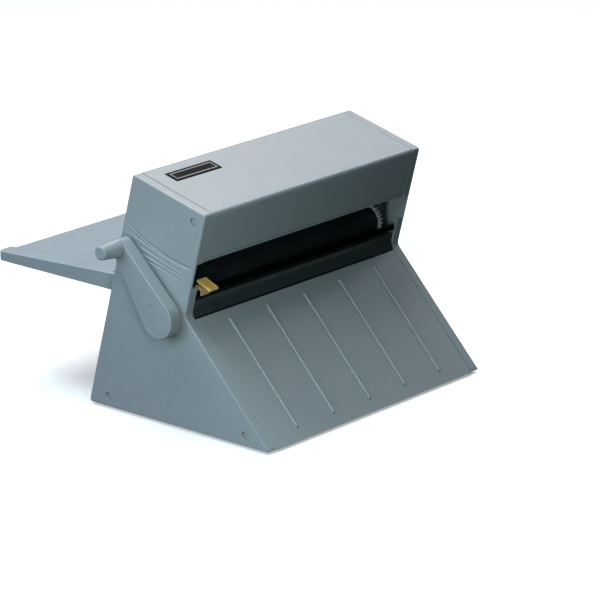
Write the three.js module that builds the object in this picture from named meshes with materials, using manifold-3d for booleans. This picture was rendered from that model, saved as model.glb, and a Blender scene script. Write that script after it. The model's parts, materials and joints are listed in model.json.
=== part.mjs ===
// A hand-cranked, heat-free roll laminator for the desk.
//
// Two film rolls, one above and one below the feed path, meet in the nip of a pair of geared
// rubber rollers. The crank on the left turns the lower roller. The sheet goes in at the rear over
// a folding tray, comes out at the front, and is cut off by a slide that runs along a rail.
//
// Millimetres. X runs along the width with the crank at -X, Y from front (-) to rear (+), Z up.
// Everything is drawn about the middle of the case's underside, and one outer group then moves the
// origin to the middle of the whole machine's footprint, at the height of its feet.

import * as THREE from 'three';
import { mergeVertices } from 'three/addons/utils/BufferGeometryUtils.js';
import Module from 'manifold-3d';

const wasm = await Module();
wasm.setup();

// ---------------------------------------------------------------------------------------------
// Driving dimensions
// ---------------------------------------------------------------------------------------------

const GAP = 0.3; // between pieces that touch or slide on each other

// Case
const CASE_WIDTH = 370;
const CASE_HEIGHT = 278;
const BASE_DEPTH = 268;
const HEAD_TILT = THREE.MathUtils.degToRad(14.5);
const TOP_LENGTH = 110;
const FRONT_LENGTH = 125;
const WALL = 3;
const CORNER_RADIUS = 4;
const CAP_DEPTH = 12; // how far an end cap reaches in from the case's side
const SEAM = 0.9; // the open joint between an end cap and the lid and panels
const MOUTH_TOP = 61; // the mouth's ends, measured down the front from its top edge
const MOUTH_BOTTOM = 91;

// Lid and its hinge
const LID_LIP = 60;
const LID_SKIRT = 12;
const LID_BARREL_RADIUS = 3;
const LID_BARREL_CENTRE = 110;
const LID_BARREL_LENGTH = 30;
const CASE_BARREL_LENGTH = 10;
const HINGE_PIN_RADIUS = 1.25;

// Badge
const BADGE = { width: 74, depth: 19, thickness: 1.2, recess: 0.9, centreX: -114, fromRear: 26.5 };

// Frame plates, tie rods and screws
const FRAME_INSIDE = 166;
const FRAME_THICKNESS = 2;
const FRAME_INSET = 6;
const TIE_ROD_RADIUS = 5;
const TIE_RODS = { front_top: [-26, 240], rear_bottom: [104, 12], front_bottom: [-99, 12] };
const SCREW_HEAD_RADIUS = 4;
const SCREW_SHANK_RADIUS = 1.9;
const SCREW_CLEARANCE = 0.4;
const BOSS_RADIUS = 6.5;
const SCREW_RECESS_DEPTH = 3.6;

// Nip rollers and gears
const NIP_Y = 9.5;
const LOWER_ROLLER_Z = 126.5;
const ROLLER_PITCH = 33; // between the two roller axes
const ROLLER_RADIUS = 16.3;
const ROLLER_HALF_LENGTH = 155;
const SHAFT_RADIUS = 5;
const GEAR_TEETH = 22;
const GEAR_START = 156.5;
const GEAR_WIDTH = 6;

// Film rolls
const FILM_WIDTH = 305;
const FILM_ROLL_RADIUS = 28;
const FILM_CORE_RADIUS = 19;
const FILM_THICKNESS = 0.4;
const UPPER_FILM_AXIS = [22, 222];
const LOWER_FILM_AXIS = [35, 78];
const FILM_AXLE_RADIUS = 4;
const FILM_AXLE_CLEARANCE = 0.4;

// Feed slot, guide and exit
const SLOT_HALF_WIDTH = 158;
const SLOT_BOTTOM = 141;
const SLOT_TOP = 154;
const GUIDE_TOP = 142;
const ANVIL_TOP = 145.4;

// Cutter
const RAIL = { front: -17.5, rear: -12.5, bottom: 150, top: 156 };
const CUTTER_X = -158.5;
const CUTTER_WIDTH = 13;
const TAB_LENGTH = 21;
const TAB_THICKNESS = 3.4;
const TAB_SLOPE = THREE.MathUtils.degToRad(22);

// Crank
const CRANK_BACK = -191;
const CRANK_FACE = -207;
const CRANK_HUB_RADIUS = 22;
const CRANK_TIP_RADIUS = 10;
const CRANK_TIP = [66, 198];
const KNOB_LENGTH = 27.7;
const KNOB_BASE_RADIUS = 10.6;
const KNOB_TIP_RADIUS = 8.1;
const KNOB_PIN_RADIUS = 3;

// Feed tray
const TRAY_FRONT = 100.5;
const TRAY_REAR = 288.5;
const TRAY_HALF_WIDTH = 172;
const TRAY_BOTTOM = 132.5;
const TRAY_RAIL_WIDTH = 5;
const TRAY_BAND_WIDTH = 23;
const TRAY_HINGE = [102.5, 149.5];
const TRAY_PIN_RADIUS = 1.5;
const TRAY_PIN_CLEARANCE = 0.4;
const TRAY_LUG_INSIDE = 160.5;
const TRAY_LUG_WIDTH = 5;

// Rubber feet
const FOOT_HEIGHT = 3;
const FOOT_RADIUS = 8;
const FOOT_X = 150;
const FOOT_FRONT_Y = -100;
const FOOT_REAR_Y = 105;

// ---------------------------------------------------------------------------------------------
// The case's side outline, as points [y, z]
// ---------------------------------------------------------------------------------------------

const HALF_WIDTH = CASE_WIDTH / 2;
const INSIDE_CAPS = HALF_WIDTH - CAP_DEPTH - SEAM; // half width of the pieces between the end caps
const UPPER_ROLLER_Z = LOWER_ROLLER_Z + ROLLER_PITCH;

// A point of the tilted head: `forward` mm from the top's rear edge and `down` mm below the top.
function headPoint(forward, down) {
  return [
    TOP_REAR[0] - forward * Math.cos(HEAD_TILT) + down * Math.sin(HEAD_TILT),
    TOP_REAR[1] - forward * Math.sin(HEAD_TILT) - down * Math.cos(HEAD_TILT),
  ];
}

const BASE_FRONT = [-BASE_DEPTH / 2, 0];
const BASE_REAR = [BASE_DEPTH / 2, 0];
const TOP_REAR = [BASE_REAR[0] - CASE_HEIGHT * Math.tan(HEAD_TILT), CASE_HEIGHT];
const TOP_FRONT = headPoint(TOP_LENGTH, 0);
const CHIN = headPoint(TOP_LENGTH, FRONT_LENGTH);
const SIDE_OUTLINE = [BASE_FRONT, BASE_REAR, TOP_REAR, TOP_FRONT, CHIN];

// A closed outline moved inwards by a distance; its points run counter-clockwise.
function inset(points, distance) {
  const count = points.length;
  return points.map((corner, i) => {
    const before = points[(i + count - 1) % count];
    const after = points[(i + 1) % count];
    const a = inwardNormal(before, corner);
    const b = inwardNormal(corner, after);
    const reach = distance / (1 + a[0] * b[0] + a[1] * b[1]);
    return [corner[0] + (a[0] + b[0]) * reach, corner[1] + (a[1] + b[1]) * reach];
  });
}

function inwardNormal(from, to) {
  const length = Math.hypot(to[0] - from[0], to[1] - from[1]);
  return [-(to[1] - from[1]) / length, (to[0] - from[0]) / length];
}

// The point a distance along the line from one point to another.
function towards(from, to, distance) {
  const length = Math.hypot(to[0] - from[0], to[1] - from[1]);
  return [
    from[0] + ((to[0] - from[0]) * distance) / length,
    from[1] + ((to[1] - from[1]) * distance) / length,
  ];
}

const INNER_OUTLINE = inset(SIDE_OUTLINE, WALL);
const [INNER_BASE_FRONT, INNER_BASE_REAR, , , INNER_CHIN] = INNER_OUTLINE;

// ---------------------------------------------------------------------------------------------
// Shapes
// ---------------------------------------------------------------------------------------------

// A polygon whose corners are rounded by short curves.
function roundedShape(points, radius) {
  const shape = new THREE.Shape();
  points.forEach((corner, i) => {
    const start = towards(corner, points[(i + points.length - 1) % points.length], radius);
    const end = towards(corner, points[(i + 1) % points.length], radius);
    if (i === 0) shape.moveTo(...start);
    else shape.lineTo(...start);
    shape.quadraticCurveTo(...corner, ...end);
  });
  shape.closePath();
  return shape;
}

function polygonShape(points) {
  return new THREE.Shape(points.map(([y, z]) => new THREE.Vector2(y, z)));
}

function circlePoints(radius, y = 0, z = 0, sides = 18) {
  return Array.from({ length: sides }, (_, i) => {
    const angle = (i / sides) * 2 * Math.PI;
    return [y + radius * Math.cos(angle), z + radius * Math.sin(angle)];
  });
}

// A side profile in Y and Z, swept along X from x0 to x1.
const SIDE_TO_WORLD = new THREE.Matrix4().makeBasis(
  new THREE.Vector3(0, 1, 0),
  new THREE.Vector3(0, 0, 1),
  new THREE.Vector3(1, 0, 0),
);

function sweptX(profile, x0, x1) {
  const shape = profile instanceof THREE.Shape ? profile : polygonShape(profile);
  const geometry = new THREE.ExtrudeGeometry(shape, {
    depth: x1 - x0,
    bevelEnabled: false,
    curveSegments: 4,
  });
  return geometry.applyMatrix4(SIDE_TO_WORLD).translate(x0, 0, 0);
}

function cylinderX(radius, x0, x1, [y, z] = [0, 0], sides = 18) {
  return sweptX(circlePoints(radius, y, z, sides), x0, x1);
}

// A profile of [radius, x] points turned round the X axis.
const TURNED_TO_WORLD = new THREE.Matrix4().makeBasis(
  new THREE.Vector3(0, 1, 0),
  new THREE.Vector3(1, 0, 0),
  new THREE.Vector3(0, 0, -1),
);

function turnedX(profile, sides = 18) {
  const points = profile.map(([radius, x]) => new THREE.Vector2(radius, x));
  return outward(new THREE.LatheGeometry(points, sides).applyMatrix4(TURNED_TO_WORLD));
}

// A profile of [radius, z] points turned round the Z axis.
function turnedZ(profile, sides = 24) {
  const points = profile.map(([radius, z]) => new THREE.Vector2(radius, z));
  return outward(new THREE.LatheGeometry(points, sides).rotateX(Math.PI / 2));
}

function tubeX(outer, inner, x0, x1, sides = 24) {
  const profile = [[inner, x0], [outer, x0], [outer, x1], [inner, x1], [inner, x0]];
  return turnedX(profile, sides);
}

function boxBetween([x0, y0, z0], [x1, y1, z1]) {
  const box = new THREE.BoxGeometry(x1 - x0, y1 - y0, z1 - z0);
  return box.translate((x0 + x1) / 2, (y0 + y1) / 2, (z0 + z1) / 2);
}

// Merges a closed shape's shared corners, and turns its faces outwards if they point in.
function outward(geometry) {
  const bare = geometry.clone();
  bare.deleteAttribute('normal');
  bare.deleteAttribute('uv');
  const merged = mergeVertices(bare, 1e-4);
  const position = merged.getAttribute('position');
  const index = Array.from(merged.index.array);
  const triangles = [];
  let volume = 0;
  const [a, b, c] = [new THREE.Vector3(), new THREE.Vector3(), new THREE.Vector3()];
  for (let i = 0; i < index.length; i += 3) {
    const [p, q, r] = index.slice(i, i + 3);
    if (p === q || q === r || r === p) continue;
    triangles.push([p, q, r]);
    a.fromBufferAttribute(position, p);
    b.fromBufferAttribute(position, q);
    c.fromBufferAttribute(position, r);
    volume += a.dot(b.cross(c)) / 6;
  }
  merged.setIndex(triangles.flatMap(([p, q, r]) => (volume > 0 ? [p, q, r] : [p, r, q])));
  return merged;
}

function toManifold(geometry) {
  const merged = outward(geometry);
  return new wasm.Manifold(new wasm.Mesh({
    numProp: 3,
    vertProperties: new Float32Array(merged.getAttribute('position').array),
    triVerts: new Uint32Array(merged.index.array),
  }));
}

function fromManifold(manifold) {
  const mesh = manifold.getMesh();
  const geometry = new THREE.BufferGeometry();
  geometry.setAttribute('position', new THREE.BufferAttribute(mesh.vertProperties, 3));
  geometry.setIndex(new THREE.BufferAttribute(mesh.triVerts, 1));
  geometry.computeVertexNormals();
  return geometry;
}

function cut(body, ...tools) {
  return fromManifold(tools.reduce((left, tool) => left.subtract(toManifold(tool)), toManifold(body)));
}

function join(body, ...others) {
  return fromManifold(others.reduce((sum, other) => sum.add(toManifold(other)), toManifold(body)));
}

function common(body, other) {
  return fromManifold(toManifold(body).intersect(toManifold(other)));
}

function mirroredX(geometry) {
  return outward(geometry.clone().scale(-1, 1, 1));
}

// ---------------------------------------------------------------------------------------------
// Finishes and the scene graph
// ---------------------------------------------------------------------------------------------

const FINISHES = {
  greyPlastic: { color: 0x8fa0a8, roughness: 0.55, metalness: 0 },
  blackPlastic: { color: 0x14181a, roughness: 0.4, metalness: 0 },
  blackRubber: { color: 0x121416, roughness: 0.35, metalness: 0 },
  yellowPlastic: { color: 0xe7bf4e, roughness: 0.4, metalness: 0 },
  palePlastic: { color: 0xc9ccd2, roughness: 0.5, metalness: 0 },
  steel: { color: 0xa8acb0, roughness: 0.35, metalness: 0.9 },
  paintedSteel: { color: 0x8fa0a8, roughness: 0.5, metalness: 0 },
  zincSteel: { color: 0x8e9498, roughness: 0.5, metalness: 0.8 },
  bronze: { color: 0xa87c4a, roughness: 0.5, metalness: 0.8 },
  card: { color: 0xb79a6c, roughness: 0.9, metalness: 0 },
  clearFilm: { color: 0xdfe6e8, roughness: 0.15, metalness: 0 },
};

const machine = new THREE.Group();
const head = new THREE.Group(); // its -Y runs forward along the top and its -Z down the front
head.position.set(0, ...TOP_REAR);
head.rotation.x = HEAD_TILT;
machine.add(head);

function addPiece(name, geometry, finish, { parent = machine, at = [0, 0, 0] } = {}) {
  const mesh = new THREE.Mesh(geometry, new THREE.MeshStandardMaterial(FINISHES[finish]));
  mesh.name = name;
  mesh.position.set(...at);
  parent.add(mesh);
  return mesh;
}

// ---------------------------------------------------------------------------------------------
// End caps: a flat side wall with a flange all round, open at the mouth
// ---------------------------------------------------------------------------------------------

// Modelled for the left side: the side wall is at -X.
function endCap({ shaftHole }) {
  const wallInside = -HALF_WIDTH + WALL;
  const flangeEnd = -HALF_WIDTH + CAP_DEPTH;
  const block = sweptX(roundedShape(SIDE_OUTLINE, CORNER_RADIUS), -HALF_WIDTH, flangeEnd);
  const hollow = sweptX(INNER_OUTLINE, wallInside, flangeEnd + 1);
  const mouth = sweptX([
    headPoint(TOP_LENGTH + 2, MOUTH_TOP),
    headPoint(TOP_LENGTH - 8, MOUTH_TOP),
    headPoint(TOP_LENGTH - 8, MOUTH_BOTTOM),
    headPoint(TOP_LENGTH + 2, MOUTH_BOTTOM),
  ], wallInside, flangeEnd + 1);
  const bosses = Object.values(TIE_RODS).map((centre) => (
    cylinderX(BOSS_RADIUS, wallInside - 1, -(FRAME_INSIDE + FRAME_THICKNESS + GAP), centre, 16)
  ));
  const recessRadius = SCREW_HEAD_RADIUS + SCREW_CLEARANCE;
  const bores = Object.values(TIE_RODS).flatMap((centre) => [
    cylinderX(recessRadius, -HALF_WIDTH - 1, -HALF_WIDTH + SCREW_RECESS_DEPTH, centre, 20),
    cylinderX(SCREW_SHANK_RADIUS + SCREW_CLEARANCE, -HALF_WIDTH - 1, -FRAME_INSIDE, centre, 12),
  ]);
  const shell = join(cut(block, hollow, mouth), ...bosses);
  if (!shaftHole) return cut(shell, ...bores);
  const crankHole = cylinderX(SHAFT_RADIUS + 2, -HALF_WIDTH - 1, wallInside + 1, [NIP_Y, LOWER_ROLLER_Z]);
  return cut(shell, ...bores, crankHole);
}

addPiece('left_end_cap', endCap({ shaftHole: true }), 'greyPlastic');
addPiece('right_end_cap', mirroredX(endCap({ shaftHole: false })), 'greyPlastic');

// ---------------------------------------------------------------------------------------------
// Panels between the end caps
// ---------------------------------------------------------------------------------------------

const FRONT_PANEL_START = 6.5; // below the chin, measured down the slope
const RIB_SPACING = 62.7;
const RIB_COUNT = 5;
const RIB_START = 17;
const RIB_END = 162;
const RIB_HEIGHT = 1.6;
const RIB_WIDTH = 2.4;

// The sloping front, with straight ribs that run down it.
function frontPanel() {
  const top = towards(CHIN, BASE_FRONT, FRONT_PANEL_START);
  const innerTop = towards(INNER_CHIN, INNER_BASE_FRONT, FRONT_PANEL_START);
  const wall = sweptX(
    [top, BASE_FRONT, [INNER_BASE_FRONT[0], 0], INNER_BASE_FRONT, innerTop],
    -INSIDE_CAPS,
    INSIDE_CAPS,
  );
  const outwards = inwardNormal(CHIN, BASE_FRONT).map((part) => -part);
  const raised = (distance, height) => {
    const [y, z] = towards(CHIN, BASE_FRONT, distance);
    return [y + outwards[0] * height, z + outwards[1] * height];
  };
  const ribProfile = [
    raised(RIB_START, -1),
    raised(RIB_START, RIB_HEIGHT * 0.4),
    raised(RIB_START + 3, RIB_HEIGHT),
    raised(RIB_END - 3, RIB_HEIGHT),
    raised(RIB_END, RIB_HEIGHT * 0.4),
    raised(RIB_END, -1),
  ];
  const ribs = Array.from({ length: RIB_COUNT }, (_, i) => {
    const x = (i - (RIB_COUNT - 1) / 2) * RIB_SPACING;
    return outward(sweptX(ribProfile, x - RIB_WIDTH / 2, x + RIB_WIDTH / 2));
  });
  return join(wall, ...ribs);
}

addPiece('front_panel', frontPanel(), 'greyPlastic');

const HINGE_OUTSIDE = 0.5; // the lid's hinge axis stands this far behind the rear face
const LID_HINGE = headPoint(-HINGE_OUTSIDE, LID_SKIRT + 0.5);

// X ranges of the lid's own barrel and of the case's two, at the hinge on one side.
function hingeRanges(side) {
  const centre = side * LID_BARREL_CENTRE;
  const half = LID_BARREL_LENGTH / 2;
  return {
    lid: [centre - half, centre + half],
    case: [
      [centre - half - GAP - CASE_BARREL_LENGTH, centre - half - GAP],
      [centre + half + GAP, centre + half + GAP + CASE_BARREL_LENGTH],
    ],
  };
}

// The leaning rear wall, with the feed slot, the lid's hinge barrels and the tray's two lugs.
function rearPanel() {
  const rearAt = (down) => headPoint(0, down);
  const topDown = LID_SKIRT + GAP;
  const slopeLength = CASE_HEIGHT / Math.cos(HEAD_TILT);
  const wall = sweptX([
    rearAt(topDown),
    headPoint(WALL, topDown),
    INNER_BASE_REAR,
    [INNER_BASE_REAR[0], 0],
    rearAt(slopeLength),
  ].reverse(), -INSIDE_CAPS, INSIDE_CAPS);
  const slot = boxBetween([-SLOT_HALF_WIDTH, 80, SLOT_BOTTOM], [SLOT_HALF_WIDTH, 115, SLOT_TOP]);
  const barrels = [-1, 1].flatMap((side) => hingeRanges(side).case.map(([x0, x1]) => (
    cylinderX(LID_BARREL_RADIUS, x0, x1, LID_HINGE, 16)
  )));
  const notches = [-1, 1].map((side) => {
    const [x0, x1] = hingeRanges(side).lid;
    const reach = LID_BARREL_RADIUS + GAP;
    return sweptX([
      headPoint(-8, topDown - 2),
      headPoint(WALL + 1, topDown - 2),
      headPoint(WALL + 1, LID_SKIRT + 0.5 + reach),
      headPoint(-8, LID_SKIRT + 0.5 + reach),
    ].reverse(), x0 - GAP, x1 + GAP);
  });
  const pinBores = [-1, 1].map((side) => {
    const ranges = hingeRanges(side).case;
    return cylinderX(HINGE_PIN_RADIUS + GAP, ranges[0][0] - 1, ranges[1][1] + 1, LID_HINGE, 12);
  });
  const [hingeY, hingeZ] = TRAY_HINGE;
  const lugs = [-1, 1].map((side) => {
    const x0 = side * TRAY_LUG_INSIDE;
    const x1 = side * (TRAY_LUG_INSIDE + TRAY_LUG_WIDTH);
    const rootY = 94; // inside the rear wall
    const profile = [
      [rootY, hingeZ - 5],
      [hingeY, hingeZ - 4],
      [hingeY + 3.5, hingeZ],
      [hingeY, hingeZ + 4],
      [rootY, hingeZ + 5],
    ];
    return sweptX(profile, Math.min(x0, x1), Math.max(x0, x1));
  });
  const lugBore = cylinderX(TRAY_PIN_RADIUS + TRAY_PIN_CLEARANCE, -INSIDE_CAPS, INSIDE_CAPS, TRAY_HINGE, 12);
  return cut(join(cut(wall, slot, ...notches), ...barrels, ...lugs), ...pinBores, lugBore);
}

addPiece('rear_panel', rearPanel(), 'greyPlastic');

const FOOT_PLACES = {
  front_left: [-FOOT_X, FOOT_FRONT_Y],
  front_right: [FOOT_X, FOOT_FRONT_Y],
  rear_left: [-FOOT_X, FOOT_REAR_Y],
  rear_right: [FOOT_X, FOOT_REAR_Y],
};
const FOOT_NECK_RADIUS = 3.5;

function basePlate() {
  const plate = boxBetween(
    [-INSIDE_CAPS, INNER_BASE_FRONT[0] + GAP, 0],
    [INSIDE_CAPS, INNER_BASE_REAR[0] - GAP, WALL],
  );
  const holes = Object.values(FOOT_PLACES).map(([x, y]) => (
    turnedZ([[0, -1], [FOOT_NECK_RADIUS + GAP, -1], [FOOT_NECK_RADIUS + GAP, WALL + 1], [0, WALL + 1]], 16)
      .translate(x, y, 0)
  ));
  return cut(plate, ...holes);
}

addPiece('base_plate', basePlate(), 'greyPlastic');

// A push-in foot: a pad under the base, a neck through it and a bulb that holds it.
const footProfile = [
  [0, -FOOT_HEIGHT],
  [FOOT_RADIUS - 1, -FOOT_HEIGHT],
  [FOOT_RADIUS, -FOOT_HEIGHT + 1],
  [FOOT_RADIUS, -GAP],
  [FOOT_NECK_RADIUS, -GAP],
  [FOOT_NECK_RADIUS, WALL + GAP],
  [FOOT_NECK_RADIUS + 1.2, WALL + GAP],
  [FOOT_NECK_RADIUS - 1, WALL + 3],
  [0, WALL + 3],
];
for (const [place, [x, y]] of Object.entries(FOOT_PLACES)) {
  addPiece(`foot_${place}`, turnedZ(footProfile, 14), 'blackRubber', { at: [x, y, 0] });
}

// ---------------------------------------------------------------------------------------------
// Lid, its badge and its hinge pins, drawn in the head's own frame
// ---------------------------------------------------------------------------------------------

function lid() {
  const bead = 3.2; // the lip ends in a bead below a fine groove
  const profile = [
    [0, -LID_SKIRT],
    [0, -2],
    [-2, 0],
    [-TOP_LENGTH + 5, 0],
    [-TOP_LENGTH + 1.5, -1.5],
    [-TOP_LENGTH, -5],
    [-TOP_LENGTH, -LID_LIP + bead + 1],
    [-TOP_LENGTH + 1, -LID_LIP + bead + 1],
    [-TOP_LENGTH + 1, -LID_LIP + bead],
    [-TOP_LENGTH, -LID_LIP + bead],
    [-TOP_LENGTH, -LID_LIP],
    [-TOP_LENGTH + 4, -LID_LIP],
    [-TOP_LENGTH + WALL, -LID_LIP + bead],
    [-TOP_LENGTH + WALL, -6],
    [-TOP_LENGTH + 6, -WALL],
    [-WALL, -WALL],
    [-WALL, -LID_SKIRT],
  ].reverse();
  const shell = sweptX(profile, -INSIDE_CAPS, INSIDE_CAPS);
  const axis = [HINGE_OUTSIDE, -LID_SKIRT - 0.5];
  const pieces = [-1, 1].map((side) => {
    const ranges = hingeRanges(side);
    const [x0, x1] = ranges.lid;
    const reach = LID_BARREL_RADIUS + GAP;
    return {
      barrel: cylinderX(LID_BARREL_RADIUS, x0, x1, axis, 16),
      bore: cylinderX(HINGE_PIN_RADIUS + GAP, x0 - 1, x1 + 1, axis, 12),
      notches: ranges.case.map(([c0, c1]) => boxBetween(
        [c0 - GAP, -WALL - 1, -LID_SKIRT - 1],
        [c1 + GAP, 1, -LID_SKIRT - 0.5 + reach],
      )),
    };
  });
  const recess = boxBetween(
    [BADGE.centreX - BADGE.width / 2 - GAP, -BADGE.fromRear - BADGE.depth / 2 - GAP, -BADGE.recess],
    [BADGE.centreX + BADGE.width / 2 + GAP, -BADGE.fromRear + BADGE.depth / 2 + GAP, 1],
  );
  const bare = cut(shell, ...pieces.flatMap((piece) => piece.notches));
  const barrelled = join(bare, ...pieces.map((piece) => piece.barrel));
  return cut(barrelled, ...pieces.map((piece) => piece.bore), recess);
}

addPiece('lid', lid(), 'greyPlastic', { parent: head });

const badge = sweptX(roundedShape([
  [-BADGE.depth / 2, 0],
  [BADGE.depth / 2, 0],
  [BADGE.depth / 2, BADGE.thickness],
  [-BADGE.depth / 2, BADGE.thickness],
], 0.3), -BADGE.width / 2, BADGE.width / 2);
addPiece('badge', badge, 'blackPlastic', {
  parent: head,
  at: [BADGE.centreX, -BADGE.fromRear, -BADGE.recess + GAP],
});

for (const [side, name] of [[-1, 'left'], [1, 'right']]) {
  const half = LID_BARREL_LENGTH / 2 + GAP + CASE_BARREL_LENGTH;
  addPiece(`lid_hinge_pin_${name}`, cylinderX(HINGE_PIN_RADIUS, -half, half, [0, 0], 12), 'steel', {
    at: [side * LID_BARREL_CENTRE, ...LID_HINGE],
  });
}

// ---------------------------------------------------------------------------------------------
// Frame: two steel side plates, held apart by tie rods
// ---------------------------------------------------------------------------------------------

const BUSH_RADIUS = 8;
const BLOCK_HALF_WIDTH = 10;
const BLOCK_BOTTOM = UPPER_ROLLER_Z - 9;
const BLOCK_TOP = UPPER_ROLLER_Z + 10;
const SPRING_TOP = BLOCK_TOP + 16;

const LOADING_SLOT = 60; // longer than the way from the upper film's axle to the plate's top edge

// Modelled for the left side.
function framePlate() {
  const x0 = -FRAME_INSIDE - FRAME_THICKNESS;
  const x1 = -FRAME_INSIDE;
  const outline = inset(SIDE_OUTLINE, FRAME_INSET).map(([y, z]) => [y, Math.max(z, WALL + GAP)]);
  const plate = sweptX(outline, x0, x1);
  const mouthRear = -7;
  const mouthTop = 197;
  const mouth = boxBetween([x0 - 1, TOP_FRONT[0] - 1, CHIN[1] - 9], [x1 + 1, mouthRear, mouthTop]);
  const rampNotch = boxBetween([x0 - 1, mouthRear - 1, ANVIL_TOP - 6.4], [x1 + 1, 0, ANVIL_TOP + 1]);
  const bearingWindow = boxBetween(
    [x0 - 1, NIP_Y - BLOCK_HALF_WIDTH - GAP, BLOCK_BOTTOM - GAP],
    [x1 + 1, NIP_Y + BLOCK_HALF_WIDTH + GAP, SPRING_TOP + GAP],
  );
  const bushHole = cylinderX(BUSH_RADIUS + GAP, x0 - 1, x1 + 1, [NIP_Y, LOWER_ROLLER_Z]);
  const screwHoles = Object.values(TIE_RODS).map((centre) => (
    cylinderX(SCREW_SHANK_RADIUS + SCREW_CLEARANCE, x0 - 1, x1 + 1, centre, 12)
  ));
  const axleHoles = [UPPER_FILM_AXIS, LOWER_FILM_AXIS].map((centre) => (
    cylinderX(FILM_AXLE_RADIUS + FILM_AXLE_CLEARANCE, x0 - 1, x1 + 1, centre, 16)
  ));
  const slotHalf = FILM_AXLE_RADIUS + FILM_AXLE_CLEARANCE;
  const across = [Math.cos(HEAD_TILT), Math.sin(HEAD_TILT)];
  const up = [-Math.sin(HEAD_TILT), Math.cos(HEAD_TILT)];
  const slotCorner = (side, rise) => [
    UPPER_FILM_AXIS[0] + side * slotHalf * across[0] + rise * up[0],
    UPPER_FILM_AXIS[1] + side * slotHalf * across[1] + rise * up[1],
  ];
  const loadingSlot = sweptX(
    [slotCorner(-1, 0), slotCorner(1, 0), slotCorner(1, LOADING_SLOT), slotCorner(-1, LOADING_SLOT)],
    x0 - 1,
    x1 + 1,
  );
  return cut(plate, mouth, rampNotch, bearingWindow, bushHole, ...screwHoles, ...axleHoles, loadingSlot);
}

addPiece('left_frame_plate', framePlate(), 'zincSteel');
addPiece('right_frame_plate', mirroredX(framePlate()), 'zincSteel');

const ROD_BORE_RADIUS = SCREW_SHANK_RADIUS + GAP;
const ROD_BORE_DEPTH = 12;
const rodEnd = FRAME_INSIDE - GAP;
const tieRodProfile = [
  [0, -rodEnd + ROD_BORE_DEPTH],
  [ROD_BORE_RADIUS, -rodEnd + ROD_BORE_DEPTH],
  [ROD_BORE_RADIUS, -rodEnd],
  [TIE_ROD_RADIUS, -rodEnd],
  [TIE_ROD_RADIUS, rodEnd],
  [ROD_BORE_RADIUS, rodEnd],
  [ROD_BORE_RADIUS, rodEnd - ROD_BORE_DEPTH],
  [0, rodEnd - ROD_BORE_DEPTH],
];

// A screw with a plain painted head at -X, reaching through the cap and the frame
// plate into a tie rod. Its head sits below the cap's face.
const SCREW_HEAD_HEIGHT = 1.5;
const SCREW_HEAD_CHAMFER = 0.4;
const screwHeadEnd = -HALF_WIDTH + SCREW_RECESS_DEPTH - GAP;
const screwFace = screwHeadEnd - SCREW_HEAD_HEIGHT;
const screwProfile = [
  [0, screwFace],
  [SCREW_HEAD_RADIUS - SCREW_HEAD_CHAMFER, screwFace],
  [SCREW_HEAD_RADIUS, screwFace + SCREW_HEAD_CHAMFER],
  [SCREW_HEAD_RADIUS, screwHeadEnd],
  [SCREW_SHANK_RADIUS, screwHeadEnd],
  [SCREW_SHANK_RADIUS, -FRAME_INSIDE + ROD_BORE_DEPTH - 2],
  [0, -FRAME_INSIDE + ROD_BORE_DEPTH - 2],
];

const capScrew = () => turnedX(screwProfile, 16);

for (const [place, centre] of Object.entries(TIE_RODS)) {
  addPiece(`tie_rod_${place}`, turnedX(tieRodProfile, 12), 'steel', { at: [0, ...centre] });
  addPiece(`cap_screw_left_${place}`, capScrew(), 'paintedSteel', { at: [0, ...centre] });
  addPiece(`cap_screw_right_${place}`, mirroredX(capScrew()), 'paintedSteel', { at: [0, ...centre] });
}

// ---------------------------------------------------------------------------------------------
// Nip rollers, their bearings and the gear pair
// ---------------------------------------------------------------------------------------------

const GEAR_MODULE = ROLLER_PITCH / GEAR_TEETH;
const PRESSURE_ANGLE = THREE.MathUtils.degToRad(20);
const GEAR_BACKLASH = 0.22; // mm taken off each flank at the pitch circle

// A spur gear about X with involute flanks. `phase` turns it by a share of one tooth.
function spurGear(phase) {
  const pitchRadius = ROLLER_PITCH / 2;
  const baseRadius = pitchRadius * Math.cos(PRESSURE_ANGLE);
  const involute = (radius) => {
    const angle = Math.acos(Math.min(1, baseRadius / radius));
    return Math.tan(angle) - angle;
  };
  const halfAtPitch = Math.PI / (2 * GEAR_TEETH) - GEAR_BACKLASH / pitchRadius;
  const halfAt = (radius) => halfAtPitch + involute(pitchRadius) - involute(Math.max(radius, baseRadius));
  const radii = [-1.25, -0.4, 0.4, 1].map((part) => pitchRadius + part * GEAR_MODULE);
  const points = [];
  for (let tooth = 0; tooth < GEAR_TEETH; tooth += 1) {
    const middle = ((tooth + phase) / GEAR_TEETH) * 2 * Math.PI;
    for (const radius of radii) points.push([radius, middle - halfAt(radius)]);
    for (const radius of [...radii].reverse()) points.push([radius, middle + halfAt(radius)]);
  }
  const outline = points.map(([radius, angle]) => [radius * Math.cos(angle), radius * Math.sin(angle)]);
  const shape = polygonShape(outline);
  shape.holes.push(new THREE.Path(circlePoints(SHAFT_RADIUS + GAP).map(([y, z]) => new THREE.Vector2(y, z))));
  return sweptX(shape, GEAR_START, GEAR_START + GEAR_WIDTH);
}

const sleeve = () => tubeX(ROLLER_RADIUS, SHAFT_RADIUS + GAP, -ROLLER_HALF_LENGTH, ROLLER_HALF_LENGTH, 36);
const SHAFT_END = 171;
const CRANK_SHAFT_END = 200;
const shaft = (x0, x1) => turnedX([
  [0, x0],
  [SHAFT_RADIUS - 0.8, x0],
  [SHAFT_RADIUS, x0 + 0.8],
  [SHAFT_RADIUS, x1 - 0.8],
  [SHAFT_RADIUS - 0.8, x1],
  [0, x1],
]);

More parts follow.
